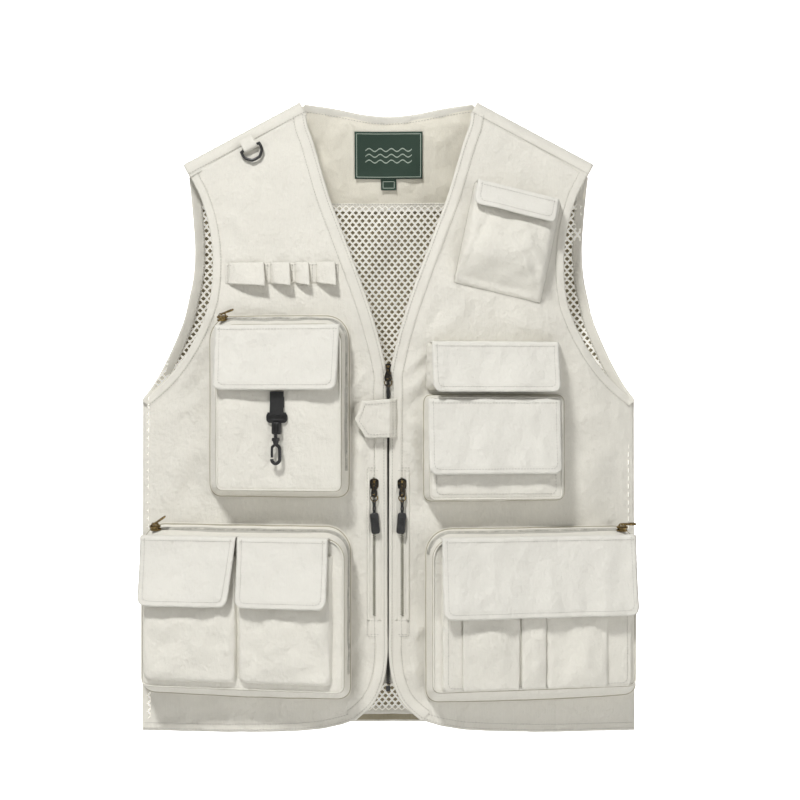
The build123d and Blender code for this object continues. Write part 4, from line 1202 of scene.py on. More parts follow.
class Box:
    """A pocket: a gusset that stands off what it is sewn to and a face, in a seat's millimetres."""

    FACE_SHARE = 0.74

    def __init__(self, seat, base, face, depth, corners=(20, 12), crown=2.5, bow=1.2, seed=1,
                 foot=None, wrinkle=0.8, shape=None, face_corners=None, covered=None, slope=None):
        self.seat, self.base, self.face, self.depth = seat, base, face, depth
        self.corners, self.crown, self.bow, self.seed = corners, crown, bow, seed
        self.face_corners = face_corners or tuple(max(5.0, c - 7) for c in corners)
        self.foot, self.wrinkle, self.shape, self.covered = foot, wrinkle, shape, covered
        self.slope = slope

    def deep(self, v):
        """The depth at a height: a slope makes it shallow towards the bottom."""
        if not self.slope:
            return self.depth
        start, share = self.slope
        low = self.face[3] - self.face[1] / 2
        return self.depth * (1 - share * limit((start - v) / (start - low)))

    def out(self, p):
        """The gusset's outward direction."""
        small = rim(self.base, self.corners, p)
        width, height, cu, cv = self.base
        big = rim((width + 8, height + 8, cu, cv), tuple(c + 4 for c in self.corners), p)
        side = self.seat.u * (big[0] - small[0]) + self.seat.v * (big[1] - small[1])
        side = side.normalized()
        face = rim(self.face, self.face_corners, p)
        spread = hypot(small[0] - face[0], small[1] - face[1])
        return (side * self.depth + self.seat.w * spread).normalized()

    def wall(self, p, k, lift=0.0):
        """A point of the gusset: k is 0 at its foot and 1 at the face's edge."""
        u, v = rim(self.base, self.corners, p)
        if self.foot is None:
            low = self.seat.at(u, v)
            low = body_point(low.x / MM, low.z / MM, 0.2)
        else:
            low = self.seat.at(u, v, self.foot)
        u, v = rim(self.face, self.face_corners, p)
        high = self.seat.at(u, v, (self.foot or 0.0) + self.deep(v))
        bow = self.bow * sin(pi * k) + 0.9 * noise.noise(Vector((p * 9, k * 1.6, self.seed))) * sin(pi * k)
        return low.lerp(high, k) + self.out(p) * (bow + lift) * MM

    def front(self, s, t, lift=0.0):
        """A point of the face, from -1 to 1 each way."""
        r = max(abs(s), abs(t))
        width, height, cu, cv = self.face
        corners = tuple(c * r for c in self.face_corners)
        u, v = rim((width * r, height * r, cu, cv), corners, round_position(s, t))
        free = 1.0
        if self.covered is not None:
            free = limit((self.covered + 4 - v) / 22)
        rise = self.deep(v) + (self.foot or 0.0)
        rise += self.crown * (1 - s * s) ** 0.8 * (1 - t * t) ** 0.8 * free - (1 - free) * 0.8
        inside = min(1.0, (1 - r) * 6) * (0.15 + 0.85 * free)
        rise += inside * crumple(u, v, self.seed, 34, self.wrinkle)
        rise += inside * crumple(u, v, self.seed + 20, 13, self.wrinkle * 0.5)
        rise += min(1.0, (1 - r) * 14) * 0.5
        if self.shape:
            rise += self.shape(u, v) * inside
        return self.seat.at(u, v, rise + lift)

    def cloth(self, across, along, name, node):
        """The whole pocket as one crowned piece of cloth."""

        def place(a, b):
            s, t = 2 * a - 1, 2 * b - 1
            r = max(abs(s), abs(t))
            if r > self.FACE_SHARE:
                return self.wall(round_position(s, t), (1 - r) / (1 - self.FACE_SHARE))
            return self.front(s / self.FACE_SHARE, t / self.FACE_SHARE)

        return into_object(grid(across, along, place), name, "vest", "pocket_canvas_painted_light", node=node,
                           thick=1.1)

    def piping(self, name, radius=0.95):
        """A corded seam round the face and another round the foot, each with its shaded groove."""
        # The seam cords are painted shade: dark tubes where the groove beside the piping lies in shadow.
        for part, k, lift, thick, finish, slot in (
            ("face_piping", 1.0, 0.1, radius, "canvas_trim", "canvas_trim"),
            ("face_seam_painted_shade", 0.93, 0.0, 0.6, "painted_shade_canvas", "canvas"),
            ("foot_piping", 0.05, 0.4, radius, "canvas_trim", "canvas_trim"),
            ("foot_seam_painted_shade", 0.12, 0.1, 0.6, "painted_shade_canvas", "canvas"),
        ):
            ring = [self.wall(j / 60, k, lift) for j in range(240)]
            tube(f"{name}_{part}", ring, thick, "vest", finish, True)

    def zip_path(self, start, stop, k=0.5, lift=0.9):
        """A zip's path along the gusset between two places on its rim."""
        steps = int(abs(stop - start) * (self.base[0] + self.base[1]) / 2 / LINE_STEPS)
        path = []
        for j in range(steps + 1):
            p = start + (stop - start) * j / steps
            path.append((self.wall(p, k, lift), self.out(p)))
        return path

    def hem_line(self, inset=5.0, lift=0.35):
        """A row of topstitching on the face, beside its edge."""
        share = 1 - 2 * inset / min(self.face[:2])
        line = []
        for j in range(241):
            s, t = square_rim(j / 60)
            line.append((self.front(s * share, t * share, lift), self.seat.w))
        return line


def square_rim(p):
    """A point round a square from -1 to 1, 0 to 4 clockwise from the top left."""
    side, t = int(p) % 4, 2 * (p - int(p)) - 1
    return [(t, 1.0), (1.0, -t), (-t, -1.0), (-1.0, t)][side]


class Flap:
    """A flap: rounded lower corners, a rolled edge, topstitching and, if asked, a ledge behind it."""

    def __init__(self, seat, u0, u1, top, bottom, w, seed, corner=10.0, narrower=0.0, ledge=0.0,
                 curl=1.0, pull=()):
        self.seat, self.u0, self.u1, self.top, self.bottom = seat, u0, u1, top, bottom
        self.w, self.seed, self.corner, self.narrower = w, seed, corner, narrower
        self.ledge, self.curl, self.pull = ledge, curl, pull

    def outline(self, a, v):
        """U at a share across, at a height, with the lower corners rounded."""
        share = (self.top - v) / (self.top - self.bottom)
        right = self.u1 - self.narrower * share
        u = self.u0 + (right - self.u0) * a
        for edge, way in ((self.u0, -1), (right, 1)):
            du = (u - edge) * way + self.corner
            dv = self.bottom + self.corner - v
            if du > 0 and dv > 0:
                reach = max(du, dv) / hypot(du, dv)
                return edge - way * self.corner + way * du * reach, (
                    self.bottom + self.corner - dv * reach
                )
        return u, v

    def rise(self, u, v, edge):
        """How far the flap stands out, from its distance to the nearest free edge."""
        out = self.w + 1.4 * (1 - exp(-max(edge, 0.0) / 1.6))
        out -= 0.55 * exp(-(((edge - 5.5) / 1.1) ** 2))
        down = (self.top - v) / (self.top - self.bottom)
        middle = min(1.0, edge / 16)
        out += middle * (crumple(u, v, self.seed, 38, 2.2) + crumple(u, v * 0.8, self.seed + 3, 13, 1.2))
        out += self.curl * down**1.6 * (0.85 + 0.5 * noise.noise(Vector((u / 32, self.seed, 2))))
        pucker = exp(-max(edge, 0.0) / 5) * 0.35 * sin(v * 0.9 + 3 * noise.noise(Vector((v / 9, u / 9, 1))))
        out += pucker
        for fu, fv, lean, half, height in self.pull:
            off = (u - fu - lean * (v - fv)) / half
            out += height * exp(-off * off) * min(1.0, down * 2.5)
        return out

    def edge(self, u, v):
        """Distance to the nearest free edge."""
        share = (self.top - v) / (self.top - self.bottom)
        return min(u - self.u0, self.u1 - self.narrower * share - u, v - self.bottom)

    def stitch_line(self, points, steps, lift):
        """A row of stitches through places on the flap."""
        at = run(points, smooth=False)
        line = []
        for k in range((steps or int(at.length / 3)) + 1):
            p = at(k / (steps or int(at.length / 3)))
            w = self.rise(p.x, p.y, self.edge(p.x, p.y)) + lift
            line.append((self.seat.at(p.x, p.y, w), self.seat.w))
        return line

    def cloth(self, across, along, name, body):
        """The flap's cloth, rolled over at its top, with its topstitching."""
        height = self.top - self.bottom
        turn = 2.6
        total = height + self.ledge + 3.0

        def place(a, b):
            d = b * total
            lean = 0.0
            if d <= height - turn:
                u, v = self.outline(a, self.bottom + d)
                w = self.rise(u, v, self.edge(u, v))
            else:
                arc = min(pi / 2, (d - height + turn) / turn)
                u, _ = self.outline(a, self.top)
                v = self.top - turn + turn * sin(arc)
                w = self.rise(u, self.top - turn, self.edge(u, self.top - turn))
                lean = turn * (1 - cos(arc)) + max(0.0, d - height + turn - turn * pi / 2)
            return self.seat.at(u, v, w - lean)

        into_object(grid(across, along, place), name, body, "flap_canvas_painted_light", node=body,
                    thick=1.5)
        inset = 5.5
        low = [(self.u0 + inset, self.top - 2), (self.u0 + inset, self.bottom + inset + 5),
               (self.u0 + inset + 1.6, self.bottom + inset + 1.5),
               (self.u0 + inset + 5, self.bottom + inset)]
        end = self.u1 - self.narrower
        high = [(end - inset - 5, self.bottom + inset), (end - inset - 1.6, self.bottom + inset + 1.5),
                (end - inset, self.bottom + inset + 5), (self.u1 - inset, self.top - 2)]
        fold = [(self.u0 + 3, self.top - 5), (self.u1 - 3, self.top - 5)]
        rows = [self.stitch_line([*low, *high], None, 0.3), self.stitch_line(fold, 40, 0.25)]
        sew(f"{name}_stitching", body, rows)


def pocket_slider(name, matrix, lift, length, way):
    """A pocket zip's slider and its pull, lifted from the chain."""
    slider_body(matrix, 4.2, 12, 5.2, f"{name}_slider_shell", f"{name}_slider", "brass",
                f"{name}_slider")
    turned = matrix @ Matrix.Translation((0, 0, 5.2))
    if way < 0:
        turned = turned @ Matrix.Rotation(pi, 4, "Z")
    turned = turned @ Matrix.Rotation(radians(-lift), 4, "Y")
    drop_pull(turned, length, f"{name}_pull_drop", f"{name}_pull", "brass", f"{name}_pull",
              hole=6.0, wide=5.0, narrow=3.0)


def gusset_frame(seat, base_top, face_top, depth, start, way):
    """The packed frame of a zip along a pocket's top gusset."""
    lean = hypot(depth, base_top - face_top)
    up, out = depth / lean, (base_top - face_top) / lean
    origin = seat.at(start, (base_top + face_top) / 2 + up * 3.0, depth / 2 + out * 3.0)
    return line_matrix(origin, seat.u * way, (seat.v * up + seat.w * out).normalized())


CHEST_SEAT = Seat(-118.5, -337.5)
RIGHT_SEAT = Seat(-156.0, -560.0)
LEFT_SEAT = Seat(157.0, -563.5)
UPPER_SEAT = Seat(115.0, -295.0)
LOWER_SEAT = Seat(115.0, -382.5)
SLANTED_SEAT = Seat(130.3, -158.5, -13.0)
RING_SEAT = Seat(-151.5, -54.0, atan2(-TIP_Z, TIP_X - NECK_HALF) * 180 / pi)


def build_chest_box():
    """The right chest pocket with its zipped gusset, flap and pull."""
    box = Box(CHEST_SEAT, (156, 197, 0, 0), (135, 176, 5.5, -1.5), 28, corners=(26, 13), crown=2.6,
              seed=2, wrinkle=1.4, covered=17.5,
              shape=lambda u, v: -2.5 * exp(-(((u - 5) / 24) ** 2) - ((v + 47) / 34) ** 2))
    box.cloth(92, 110, "chest_box_cloth", "chest_box_pocket")
    box.piping("chest_box")
    tape_and_teeth("chest_box_zip", box.zip_path(0.05, 1.86), "chest_box_zip", GUSSET_TOOTH)
    matrix = gusset_frame(CHEST_SEAT, 98.5, 86.5, 28, -66, 1)
    pocket_slider("chest_box", shifted(matrix, 7), 20, 15, 1)
    flap = Flap(CHEST_SEAT, -64, 72.5, 87.5, 17.5, 29.6, 5, corner=9, narrower=2, ledge=0.0, curl=11.0,
                pull=[(-30, 60, 0.35, 7, 0.8), (44, 60, -0.3, 8, 0.9)])
    flap.cloth(64, 38, "chest_flap_cloth", "chest_box_flap")


STRAP_U, BAR_V, BAR_OUT, HOOK_OUT = 5.0, -8.0, 31.4, 36.6


def build_webbing():
    """The webbing that goes down behind the buckle's bar, round it and up again under the flap."""
    bend, behind, above = 2.6, 18.0, 24.0

    def strap(u, v):
        across = STRAP_U - 7.5 + 15 * u
        d = v * (behind + pi * bend + above)
        if d < behind:
            return CHEST_SEAT.at(across, BAR_V + behind - d, 28.6)
        d -= behind
        if d < pi * bend:
            a = d / bend
            return CHEST_SEAT.at(across, BAR_V - bend * sin(a), BAR_OUT - bend * cos(a))
        d -= pi * bend
        return CHEST_SEAT.at(across, BAR_V + d, BAR_OUT + bend - min(1.6, d * 0.16))

    into_object(outward(grid(12, 60, strap)), "hook_webbing", "vest", "webbing", node="hook_strap",
                thick=-0.9)


def build_buckle():
    """The buckle on the webbing's bar and the ribbed clamp that holds the hook's swivel."""
    place = CHEST_SEAT.matrix(STRAP_U, BAR_V, BAR_OUT)
    parts = [cylinder(1.5, 20, (-10, 0, 0), (1, 0, 0))]
    parts.append(plate([round_box(21.5, 9.6, 3.4, 0, -4.2)], 2.8, 0.8, Matrix.Identity(4)))
    parts.append(block((18, 1.5, 1.6), (0, -6.4, 1.7), 0.4))
    parts.append(block((10.6, 13.5, 5.4), (0, -15.4, 2.0), 0.9, taper=0.9))
    for x in (-3.2, 0.0, 3.2):
        parts.append(block((1.2, 10.5, 1.2), (x, -14.8, 4.9), 0.3))
    into_object(placed(merge(parts), place), "hook_buckle_frame", "hook_buckle", "black_plastic",
                node="hook_buckle")


def build_hook():
    """The swivelling snap hook and its sprung gate."""
    place = CHEST_SEAT.matrix(STRAP_U, BAR_V, HOOK_OUT)
    down = (0, -1, 0)
    parts = [cylinder(1.9, 5, (0, -21, 0), down), cylinder(4.3, 3.6, (0, -25.4, 0), down, bevel=0.8),
             cylinder(3.4, 4.8, (0, -28.8, 0), down, bevel=0.5, top=2.2)]
    path = run([(0, -32.5), (3.6, -35.5), (4.3, -40), (4.3, -47), (3.7, -50.6), (0, -53.0),
                (-3.5, -51.2), (-4.3, -48)])
    spine = [place @ path(k / 40) for k in range(41)]
    into_object(placed(merge(parts), place), "snap_hook_swivel", "snap_hook", "black_plastic",
                node="snap_hook")
    horn = [place @ Vector((x, y, 0)) for x, y in ((0, -32.8), (-2.2, -33.8), (-3.8, -35.4))]
    gate = [place @ Vector((x, y, 0)) for x, y in ((-3.9, -34.6), (-4.2, -38), (-4.3, -42), (-4.2, -46.6))]
    for name, points, radius, body in (
        ("snap_hook_bow", spine, 1.9, "snap_hook"), ("snap_hook_horn", horn, 1.5, "snap_hook"),
        ("hook_gate_bar", gate, 1.45, "hook_gate"),
    ):
        tube(name, points, radius, body, "black_plastic")
    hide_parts("hook_gate")


def patch_folds(seed, drops):
    """Vertical folds that fade upwards, as (u, half width, height)."""

    def shape(u, v):
        rise = 0.0
        for at, half, height in drops:
            off = (u - at + 3 * noise.noise(Vector((v / 24, at, seed)))) / half
            rise += height * exp(-off * off) * limit((30 - v) / 70)
        return rise

    return shape


def build_right_cargo():
    """The right cargo pocket, its two patch pockets and their flaps."""
    box = Box(RIGHT_SEAT, (237, 188, 0, 0), (225, 161, 5, 0), 30, corners=(28, 14), crown=1.0, seed=6,
              covered=60)
    box.cloth(110, 92, "right_cargo_cloth", "right_cargo_pocket")
    box.piping("right_cargo")
    tape_and_teeth("right_cargo_zip", box.zip_path(0.05, 1.86), "right_cargo_zip", GUSSET_TOOTH)
    matrix = gusset_frame(RIGHT_SEAT, 94, 80.5, 30, -104, 1)
    pocket_slider("right_cargo", shifted(matrix, 7), 33, 17, 1)
    for name, u0, u1, seed in (("outer", -105.0, 1.2, 8), ("inner", 2.6, 106.0, 9)):
        middle, width = (u0 + u1) / 2, u1 - u0
        patch = Box(RIGHT_SEAT, (width, 139, middle, -4.5), (width - 5, 134, middle, -4.5), 7,
                    corners=(3, 7), crown=3.2, seed=seed, foot=30, wrinkle=4.0, bow=0.2,
                    face_corners=(3, 8), covered=8,
                    shape=patch_folds(seed, [(middle - 18, 9, 1.2), (middle + 26, 7, -1.1)]))
        patch.cloth(50, 64, f"right_cargo_patch_{name}", ())
    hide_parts("right_cargo_patches")
    spans = (("outer", -106.3, 1.6, 8.0, 11), ("inner", 2.8, 103.0, 0.0, 12))
    for name, u0, u1, narrower, seed in spans:
        flap = Flap(RIGHT_SEAT, u0, u1, 83, 8, 38.6, seed, corner=10, narrower=narrower, ledge=6.5,
                    curl=12.0, pull=[((u0 + u1) / 2 - 20, 40, 0.3, 8, 0.9),
                                    ((u0 + u1) / 2 + 24, 40, -0.25, 7, -0.8)])
        flap.cloth(54, 44, f"right_cargo_flap_{name}_cloth", f"right_cargo_flap_{name}")


def build_left_cargo():
    """The left cargo pocket with its pleated patch pocket and wide flap."""
    box = Box(LEFT_SEAT, (239, 189, 0, 0), (225, 161, -5, 4), 30, corners=(28, 14), crown=1.0, seed=14,
              covered=60)
    box.cloth(110, 92, "left_cargo_cloth", "left_cargo_pocket")
    box.piping("left_cargo")
    tape_and_teeth("left_cargo_zip", box.zip_path(0.95, -0.86), "left_cargo_zip", GUSSET_TOOTH)
    matrix = gusset_frame(LEFT_SEAT, 94.5, 84.5, 30, 106, -1)
    pocket_slider("left_cargo", shifted(matrix, 9), 0, 17, -1)
    patch = Box(LEFT_SEAT, (211, 145, -3.5, -4.7), (208, 142, -3.5, -4.7), 5.4, corners=(3, 6), crown=0.6,
                seed=15, foot=30, wrinkle=0.9, bow=0.3, face_corners=(3, 6), covered=1)
    patch.cloth(90, 60, "left_cargo_patch_cloth", "left_cargo_patch")
    for name, u0, u1, seed in (("outer", 6.0, 72.5, 16), ("middle", -22.6, 4.0, 17),
                               ("inner", -87.0, -26.0, 18)):
        middle, width = (u0 + u1) / 2, u1 - u0
        pleat = Box(LEFT_SEAT, (width, 142, middle, -5), (width + 1.5, 141, middle, -5), 2.6,
                    corners=(2, 2), crown=min(2.6, width / 20), seed=seed, foot=35.6, wrinkle=3.4,
                    bow=0.3, face_corners=(2, 2), covered=1,
                    shape=patch_folds(seed, [(middle + 6, 8, 1.0), (middle - 16, 6, -0.8)]))
        pleat.cloth(max(14, int(width / 2.2)), 62, f"left_cargo_pleat_{name}", ())
    sew("left_cargo_patch_stitching", "vest", [patch.hem_line(3.0)])
    flap = Flap(LEFT_SEAT, -110.4, 105.3, 87, 1, 38.6, 19, corner=10, ledge=6.5, curl=11.0,
                pull=[(-60, 40, 0.3, 9, 1.0), (20, 40, -0.2, 9, -0.9), (70, 40, 0.2, 8, 0.9)])
    flap.cloth(96, 48, "left_cargo_flap_cloth", "left_cargo_flap")


def build_double_pocket():
    """The two left chest pockets, one above the other, with their flaps."""
    upper = Box(UPPER_SEAT, (150, 54, 0, 1), (139, 44, -2, 2), 16.5, corners=(8, 5), crown=1.4, seed=22,
                wrinkle=1.0, covered=-23)
    lower = Box(LOWER_SEAT, (156, 114, 0, 0), (144, 108, -2, 0), 21, corners=(8, 8), crown=3.2, seed=23,
                wrinkle=1.8, covered=-27.5)
    upper.cloth(76, 34, "double_pocket_upper_cloth", "double_pocket")
    lower.cloth(78, 62, "double_pocket_lower_cloth", ())
    lower.piping("double_pocket_lower", radius=0.9)
    sew("double_pocket_stitching", "vest", [lower.hem_line(5.0)])
    flap = Flap(UPPER_SEAT, -72, 67.4, 27, -27, 18.8, 24, corner=9, curl=13.0, ledge=8,
                pull=[(-30, 10, 0.3, 8, 0.7), (30, 8, -0.4, 9, 0.8)])
    flap.cloth(66, 34, "double_upper_flap_cloth", "double_upper_flap")
    flap = Flap(LOWER_SEAT, -76.6, 68.6, 53.5, -27.5, 22.8, 25, corner=9, curl=9.0, ledge=3,
                pull=[(-40, 30, 0.2, 9, 0.8), (36, 30, -0.3, 8, 0.9)])
    flap.cloth(68, 44, "double_lower_flap_cloth", "double_lower_flap")


def build_slanted_pocket():
    """The slack pocket on the left chest, set at a slant."""

    def slack(u, v):
        rise = 4.5 * exp(-(((v + 14 - 0.12 * u) / 15) ** 2)) * exp(-((u / 40) ** 4))
        rise -= 2.6 * exp(-(((u + 34 - 0.25 * v) / 5) ** 2)) * limit((34 - v) / 30)
        rise += 1.8 * exp(-(((u - 26 + 0.9 * (v + 30)) / 5) ** 2)) * limit((10 - v) / 40)
        rise -= 1.6 * exp(-(((u - 36 + 0.7 * (v + 30)) / 5) ** 2)) * limit((10 - v) / 40)
        rise += 1.3 * exp(-(((v - 8 + 0.5 * u) / 6) ** 2)) * exp(-(((u - 16) / 26) ** 2))
        return rise

    box = Box(SLANTED_SEAT, (98, 116, 0, 0), (88, 104, -2, 3), 16, corners=(5, 2), crown=4.5, seed=28,
              wrinkle=3.0, shape=slack, bow=1.6, covered=27, slope=(-26, 0.8))
    box.cloth(60, 66, "slanted_pocket_cloth", "slanted_pocket")
    foot = [(box.wall(j / 60, 0.06, 0.4), SLANTED_SEAT.w) for j in range(241)]
    sew("slanted_pocket_stitching", "vest", [foot])
    flap = Flap(SLANTED_SEAT, -48.6, 43.5, 56, 27, 17.8, 29, corner=8, curl=8.0, ledge=6,
                pull=[(-20, 40, 0.3, 8, 0.6)])
    flap.cloth(48, 26, "slanted_flap_cloth", "slanted_flap")


# Small cloth pieces and hardware

LOOP_SPANS = [(-175.0, -135.0), (-128.0, -107.0), (-101.0, -86.5), (-78.0, -57.5)]
LOOP_TOP, LOOP_BOTTOM = -182.0, -204.0


def build_tool_loops():
    """A strip of cloth folded out into four loops, closed at the top and standing off below."""

    def strip(u, v):
        return body_point(-178 + 124 * u, LOOP_BOTTOM + 22 * v, 0.5 + 0.6 * min(1, 6 * min(v, 1 - v)))

    parts = [grid(60, 12, strip)]
    for x0, x1 in LOOP_SPANS:
        rise = 10.5 if x1 - x0 > 18 else 8.5

        def loop(u, v, x0=x0, x1=x1, rise=rise):
            swell = min(1.0, u / 0.6) ** 0.7 * (1 - max(0.0, (u - 0.86) / 0.14) ** 3)
            stand = rise * swell * (0.4 + 0.6 * (1 - v) ** 0.7) + 1.0
            lean = 2.2 * swell * (1 - v)
            x = x0 + (x1 - x0) * min(1.0, u / 0.92) + lean * (1 if u > 0.5 else 0.3)
            return body_point(x, LOOP_BOTTOM - 3.5 * u * (1 - v) + 23 * v, stand)

        parts.append(grid(26, 16, loop))
    into_object(merge(parts), "tool_loop_cloth", "vest", "canvas", node="tool_loops",
                thick=0.8)
    rows = [body_line([(-177, LOOP_TOP - 2), (-55, LOOP_TOP - 2)], 2.2, smooth=False)]
    for a, b in [(-177, -175), (-135, -128), (-107, -101), (-86.5, -78), (-57.5, -55)]:
        x = (a + b) / 2
        rows.append(body_line([(x, LOOP_TOP - 1), (x, LOOP_BOTTOM + 1)], 1.4, smooth=False))
    sew("tool_loop_stitching", "vest", rows)


def build_ring():
    """The cloth tab on the shoulder seam and the D-ring in it."""
    seat, out, bend = RING_SEAT, 4.0, 2.9

    def tab(u, v):
        across = -8 + 16 * u
        d = v * (13 + pi * bend + 10)
        if d < 13:
            return seat.at(across, 13 - d, out + bend - 2.6 * (1 - d / 13) ** 2)
        d -= 13
        if d < pi * bend:
            a = d / bend
            return seat.at(across, -bend * sin(a), out + bend * cos(a))
        return seat.at(across, d - pi * bend, out - bend + 0.1)

    into_object(outward(grid(12, 40, tab)), "ring_tab_cloth", "vest", "canvas_trim", node="ring_tab",
                thick=-0.8)
    path = run([(-10.9, 0.6), (-11.2, -4), (-10.2, -8.4), (-5.4, -13.6), (-2.6, -14.6), (2.6, -14.6),
                (5.4, -13.6), (10.2, -8.4), (11.2, -4), (10.9, 0.6)])
    points = [seat.at(path(k / 60).x, path(k / 60).y, out) for k in range(61)]
    tube("d_ring_bow", points, 1.65, "d_ring", "black_plastic")
    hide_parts("d_ring")
    bar = [seat.at(-10.6 + 21.2 * k / 8, 0, out) for k in range(9)]
    tube("d_ring_bar", bar, 1.55, "d_ring", "black_plastic")


def build_placket_tab():
    """The five-sided tab that closes across the main zip."""
    top = run([(-28.5, -332), (9.5, -329)], smooth=False)
    bottom = run([(-24, -372), (9.5, -371)], smooth=False)
    left = run([(-28.5, -332), (-36, -353), (-24, -372)], smooth=False)
    right = run([(9.5, -329), (9.5, -371)], smooth=False)
    shape = coons(top, bottom, left, right)
    front = skin_y(0, -350)

    def surface(x, z, lift=0.0):
        share = limit((9.5 - x) / 9)
        rise = 1.9 + 7.1 * share * share * (3 - 2 * share)
        rise += 0.5 * crumple(x, z, 31, 12, 1.0) + 0.4 * sin((z + 330) / 4.2) * exp(-((9.5 - x) / 6))
        return Vector((x, front - rise - lift, z)) * MM

    def place(u, v):
        p = shape(u, 1 - v)
        edge = min(u, 1 - u, v, 1 - v) * 30
        return surface(p.x, p.y, 0.9 * (1 - exp(-edge / 1.5)) - 0.4 * exp(-(((edge - 4) / 1.0) ** 2)))

    into_object(grid(34, 32, place), "placket_tab_cloth", "placket_tab", "canvas",
                node="placket_tab", thick=1.8)
    out = Vector((0, -1, 0))
    at = run([(8, -333.4), (-24.6, -336), (-31.2, -353), (-20.6, -368), (8, -367)], smooth=False)
    rows = [[(surface(at(k / 60).x, at(k / 60).y, 1.2), out) for k in range(61)]]
    for x in (8.4, 5.2):
        rows.append([(surface(x, -331 - 38 * k / 20, 1.1), out) for k in range(21)])
    sew("placket_tab_stitching", "placket_tab", rows)


def dress_hidden_nodes():
    """The touch-fastener patches keep their packed shape."""
    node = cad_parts["loop_patches"]
    node.data.materials.clear()
    node.data.materials.append(finishes["pile"])


# The add-on

def length_setting(name, description, metres):
    """A length in metres that the panel shows."""
    return bpy.props.FloatProperty(name=name, description=description, default=metres, min=0.00001,
                                   precision=5, unit="LENGTH")


class VestSizes(bpy.types.PropertyGroup):
    """The thickness of the cloth and the spacing of what repeats in it."""

    shell: length_setting("Shell", "Thickness of the outer cloth", 0.0013)
    stitch: length_setting("Stitch", "Length of one stitch", 0.0027)
    stitch_pitch: length_setting("Stitch pitch", "From one stitch to the next", 0.0033)
    mesh_pitch: length_setting("Mesh pitch", "From hole to hole across the mesh lining", 0.0074)
    mesh_row: length_setting("Mesh row", "From one row of the mesh's holes to the next", 0.00445)
    tooth_pitch: length_setting("Tooth pitch", "From one zip tooth to the next", 0.00125)
    hole_share: bpy.props.FloatProperty(
        name="Hole share", description="Width of a hole in the mesh against its cell", default=0.63,
        min=0.1, max=0.95, subtype="FACTOR")


class VestCloth(bpy.types.PropertyGroup):
    """The vest's cloth."""

    canvas: bpy.props.FloatVectorProperty(
        name="Canvas", description="Colour of the outer cloth", subtype="COLOR",
        default=(0.760, 0.737, 0.662), min=0, max=1,
    )
    # Painted light: the pockets get a lighter copy of the canvas, for the light they catch.
    pocket: bpy.props.FloatVectorProperty(
        name="Pockets", description="Colour of the pockets' cloth", subtype="COLOR",
        default=(0.775, 0.752, 0.675), min=0, max=1,
    )
    # Painted light: the flaps get a lighter copy of the canvas, for the light they catch.
    flap: bpy.props.FloatVectorProperty(
        name="Flaps", description="Colour of the flaps", subtype="COLOR",
        default=(0.775, 0.757, 0.692), min=0, max=1,
    )
    # Painted light: the lining's colour is set lighter, for the light the yoke lining would catch inside
    # the back.
    lining: bpy.props.FloatVectorProperty(
        name="Lining", description="Colour of the plain lining", subtype="COLOR",
        default=(0.82, 0.785, 0.675), min=0, max=1,
    )
    # Painted light: the mesh's colour is set lighter than the canvas, for the light it would catch inside
    # the vest's shade.
    mesh: bpy.props.FloatVectorProperty(
        name="Mesh", description="Colour of the knitted mesh", subtype="COLOR",
        default=(0.93, 0.905, 0.83), min=0, max=1,
    )
    label: bpy.props.FloatVectorProperty(
        name="Label", description="Colour of the woven label's field", subtype="COLOR",
        default=(0.016, 0.045, 0.028), min=0, max=1,
    )


class VestHardware(bpy.types.PropertyGroup):
    """The zips and the clip-on hardware."""

    black: bpy.props.FloatVectorProperty(
        name="Black", description="Colour of the plastic and painted hardware", subtype="COLOR",
        default=(0.012, 0.012, 0.012), min=0, max=1,
    )
    brass: bpy.props.FloatVectorProperty(
        name="Brass", description="Colour of the darkened brass", subtype="COLOR",
        default=(0.16, 0.115, 0.05), min=0, max=1,
    )


class VestStage(bpy.types.PropertyGroup):
    """The camera, lights and floor."""

    distance: bpy.props.FloatProperty(
        name="Distance", description="From the camera to the vest's middle plane", unit="LENGTH",
        default=1.9, min=0.5,
    )
    view_width: bpy.props.FloatProperty(
        name="View width", description="Width seen at the vest's middle plane", unit="LENGTH",
        default=0.888, min=0.1,
    )
    key: bpy.props.FloatProperty(
        name="Key light", description="Power of the main light in watts", default=152.0, min=0,
    )
    fill: bpy.props.FloatProperty(
        name="Sky", description="Strength of the even light from all round", default=0.14, min=0,
    )


def declare_sheets():
    """Which pieces are sheets of cloth, and the sizes they were cut to."""


def shaded(colour, *gains):
    """A colour times one gain, or times one for each channel."""
    return tuple(min(1.0, c * g) for c, g in zip(colour, gains * 3 if len(gains) == 1 else gains))


